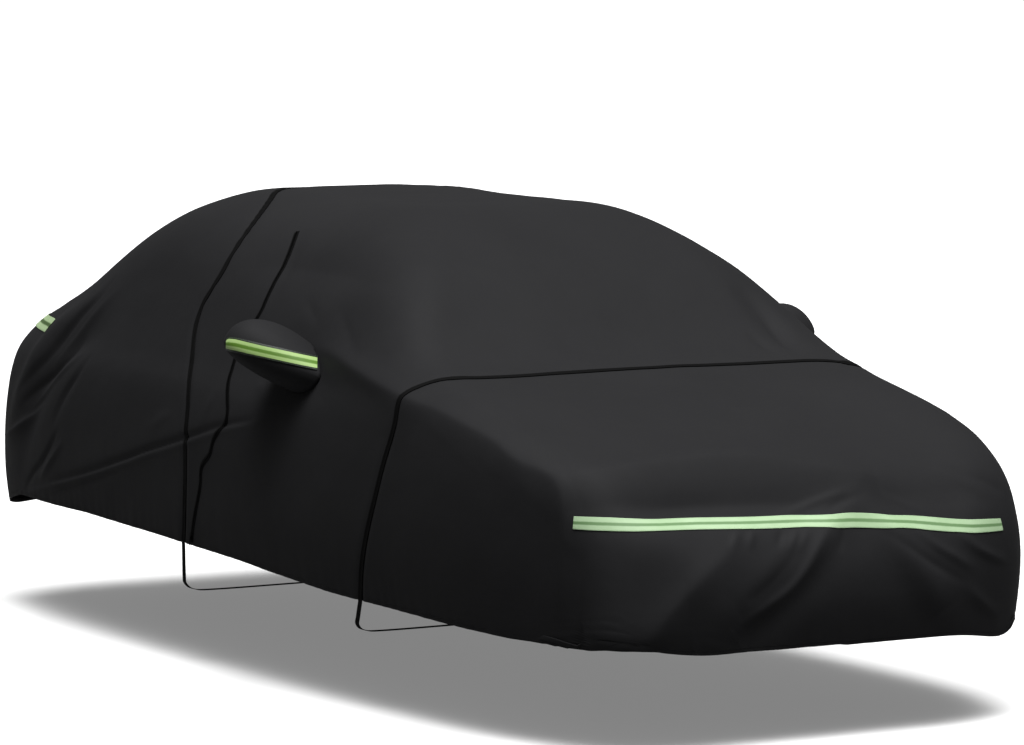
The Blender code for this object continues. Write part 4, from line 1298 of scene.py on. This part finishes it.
def reflective_finish(name, bands, rim_shade):
    """Two pale bands, a greener one between them, and a black rim of painted shade where asked."""
    finish = Finish(name, Specular_IOR_Level=0.12)
    solid, across, along = finish.places()
    off_middle = (across / STRIP_WIDTH - 0.5).size()
    # painted sheen: random patches where the pale bands are lighter, as if they shone, between duller
    # worn ones
    wear_and_sheen = finish.noise(solid, 9.0, 3.0)
    grain = finish.noise(solid, 120.0, 2.0)
    core = finish.node("MapRange", {
        "Value": off_middle + 0.04 * (grain - 0.5), "From Min": CORE_EDGE[0],
        "From Max": CORE_EDGE[1]}, interpolation_type="SMOOTHSTEP")
    pale = finish.mix(wear_and_sheen, bands[0], bands[1])
    colour = finish.mix(core, bands[2], pale)
    # painted shade: the tape's outermost share on each side is painted black
    if rim_shade:
        colour = finish.mix(off_middle > 0.5 - rim_shade, colour, RIM_SHADE_BLACK)
    in_seam = (off_middle - SEAM_PLACE).size() < SEAM_HALF_WIDTH
    stitch = in_seam * ((along * (2 * math.pi / SEAM_PITCH)).sine() > -0.2)
    finish.feed(Base_Color=finish.mix(stitch * 0.5, colour, THREAD_GREEN),
                Roughness=0.32 + 0.25 * grain)
    beads = finish.node("TexVoronoi", {"Vector": solid, "Scale": 420.0})
    finish.bump((beads, BEAD_HEIGHT), (stitch, SEAM_HEIGHT))
    return finish.material


webbing_material = webbing_finish("elastic_webbing", 0.0024, 0.0012)
for strap, _ in straps.values():
    strap.data.materials.append(webbing_material)
zip_material = webbing_finish("zip_tape", 0.0016, 0.0010)
for piece in (tape, teeth, slider, pull):
    piece.data.materials.append(zip_material)
# Colours of the outer bands where they are dull and where they shine, and of the middle band.
SOFT_GREEN = ((0.165, 0.250, 0.135, 1), (0.250, 0.335, 0.215, 1), (0.075, 0.135, 0.058, 1))
DEEP_GREEN = ((0.155, 0.220, 0.110, 1), (0.210, 0.270, 0.160, 1), (0.030, 0.055, 0.016, 1))
WARM_GREEN = ((0.150, 0.235, 0.072, 1), (0.215, 0.300, 0.120, 1), (0.050, 0.105, 0.012, 1))
# Each strip's bands, and its rim of painted shade on each side, as a share of its width.
STRIP_LOOKS = ((SOFT_GREEN, 0.0), (DEEP_GREEN, 0.0), (WARM_GREEN, 0.14))
for strip, (bands, rim_shade) in zip(strips, STRIP_LOOKS):
    strip.data.materials.append(reflective_finish(strip.name + "_finish", bands, rim_shade))
print("finishes:", sorted(material.name for material in bpy.data.materials if material.users))

# %% [markdown]
# ## The cloth pieces
# The cover, its pockets and its straps are counted.

print("cloth facts for", 1 + len(pockets) + len(straps), "pieces")

# %% [markdown]
# ## Floor and light
# The cover hangs over a plain pale floor under one very large soft light, as in a studio. Small
# lamps would put hard glints on black cloth, and a wide light shows its folds.

# %% The floor
WHITE = (1, 1, 1, 1)
FLOOR_SIZE, FLOOR_GLOW = 160, 0.22
FLOOR_SEEN, FLOOR_BOUNCE = 0.42, 0.14    # how pale it looks, and how much it lights the cloth


def make_floor():
    """A white floor that reflects little, as if dark cloths lay round the cover."""
    deselect_all()
    bpy.ops.mesh.primitive_plane_add(size=FLOOR_SIZE, location=(0, 0, -ROOF_HEIGHT))
    floor = bpy.context.object
    floor.name = "studio_floor"
    finish = Finish("pale_floor", Roughness=0.9, Specular_IOR_Level=0.0)
    finish.feed(Base_Color=(FLOOR_BOUNCE,) * 3 + (1,))
    white = finish.node("BsdfPrincipled", {
        "Base Color": (FLOOR_SEEN,) * 3 + (1,), "Roughness": 1.0, "Specular IOR Level": 0.0,
        "Emission Color": WHITE, "Emission Strength": FLOOR_GLOW})
    dull = Wire(finish.tree, finish.shader.outputs[0])
    both = finish.node("MixShader", {0: finish.node("LightPath"), 1: dull, 2: white})
    plug(finish.tree, both, finish.tree.nodes["Material Output"].inputs["Surface"])
    floor.data.materials.append(finish.material)


make_floor()

# %% The light
# The light comes from a wide soft patch overhead, a little towards the camera, and fades out from
# its middle. It is part of the world, so that it is as strong everywhere.
LIGHT_AIM = (-0.05, -0.17, 0.98)
LIGHT_STRENGTH, LIGHT_NARROWNESS, LIGHT_AROUND = 39.0, 22.0, 0.16
BACKDROP = 1.05             # how bright the surroundings look behind the cover


def make_world():
    """One light for everything, and a white backdrop that only shows in the picture."""
    world = bpy.data.worlds.new("studio")
    bpy.context.scene.world = world
    world.use_nodes = True
    tree = world.node_tree
    aim = tuple(Vector(LIGHT_AIM).normalized())
    facing = add_node(tree, "VectorMath", {0: add_node(tree, "TexCoord"), 1: aim}, 1,
                      operation="DOT_PRODUCT")
    patch = facing.math("MAXIMUM", facing, 0.0) ** LIGHT_NARROWNESS * LIGHT_STRENGTH + LIGHT_AROUND
    lit = add_node(tree, "Background", {"Color": WHITE, "Strength": patch})
    plain = add_node(tree, "Background", {"Color": WHITE, "Strength": BACKDROP})
    both = add_node(tree, "MixShader", {0: add_node(tree, "LightPath"), 1: lit, 2: plain})
    plug(tree, both, tree.nodes["World Output"].inputs["Surface"])
    bpy.context.scene.view_settings.view_transform = "Standard"


make_world()
print("light from", [round(c, 2) for c in Vector(LIGHT_AIM).normalized()])
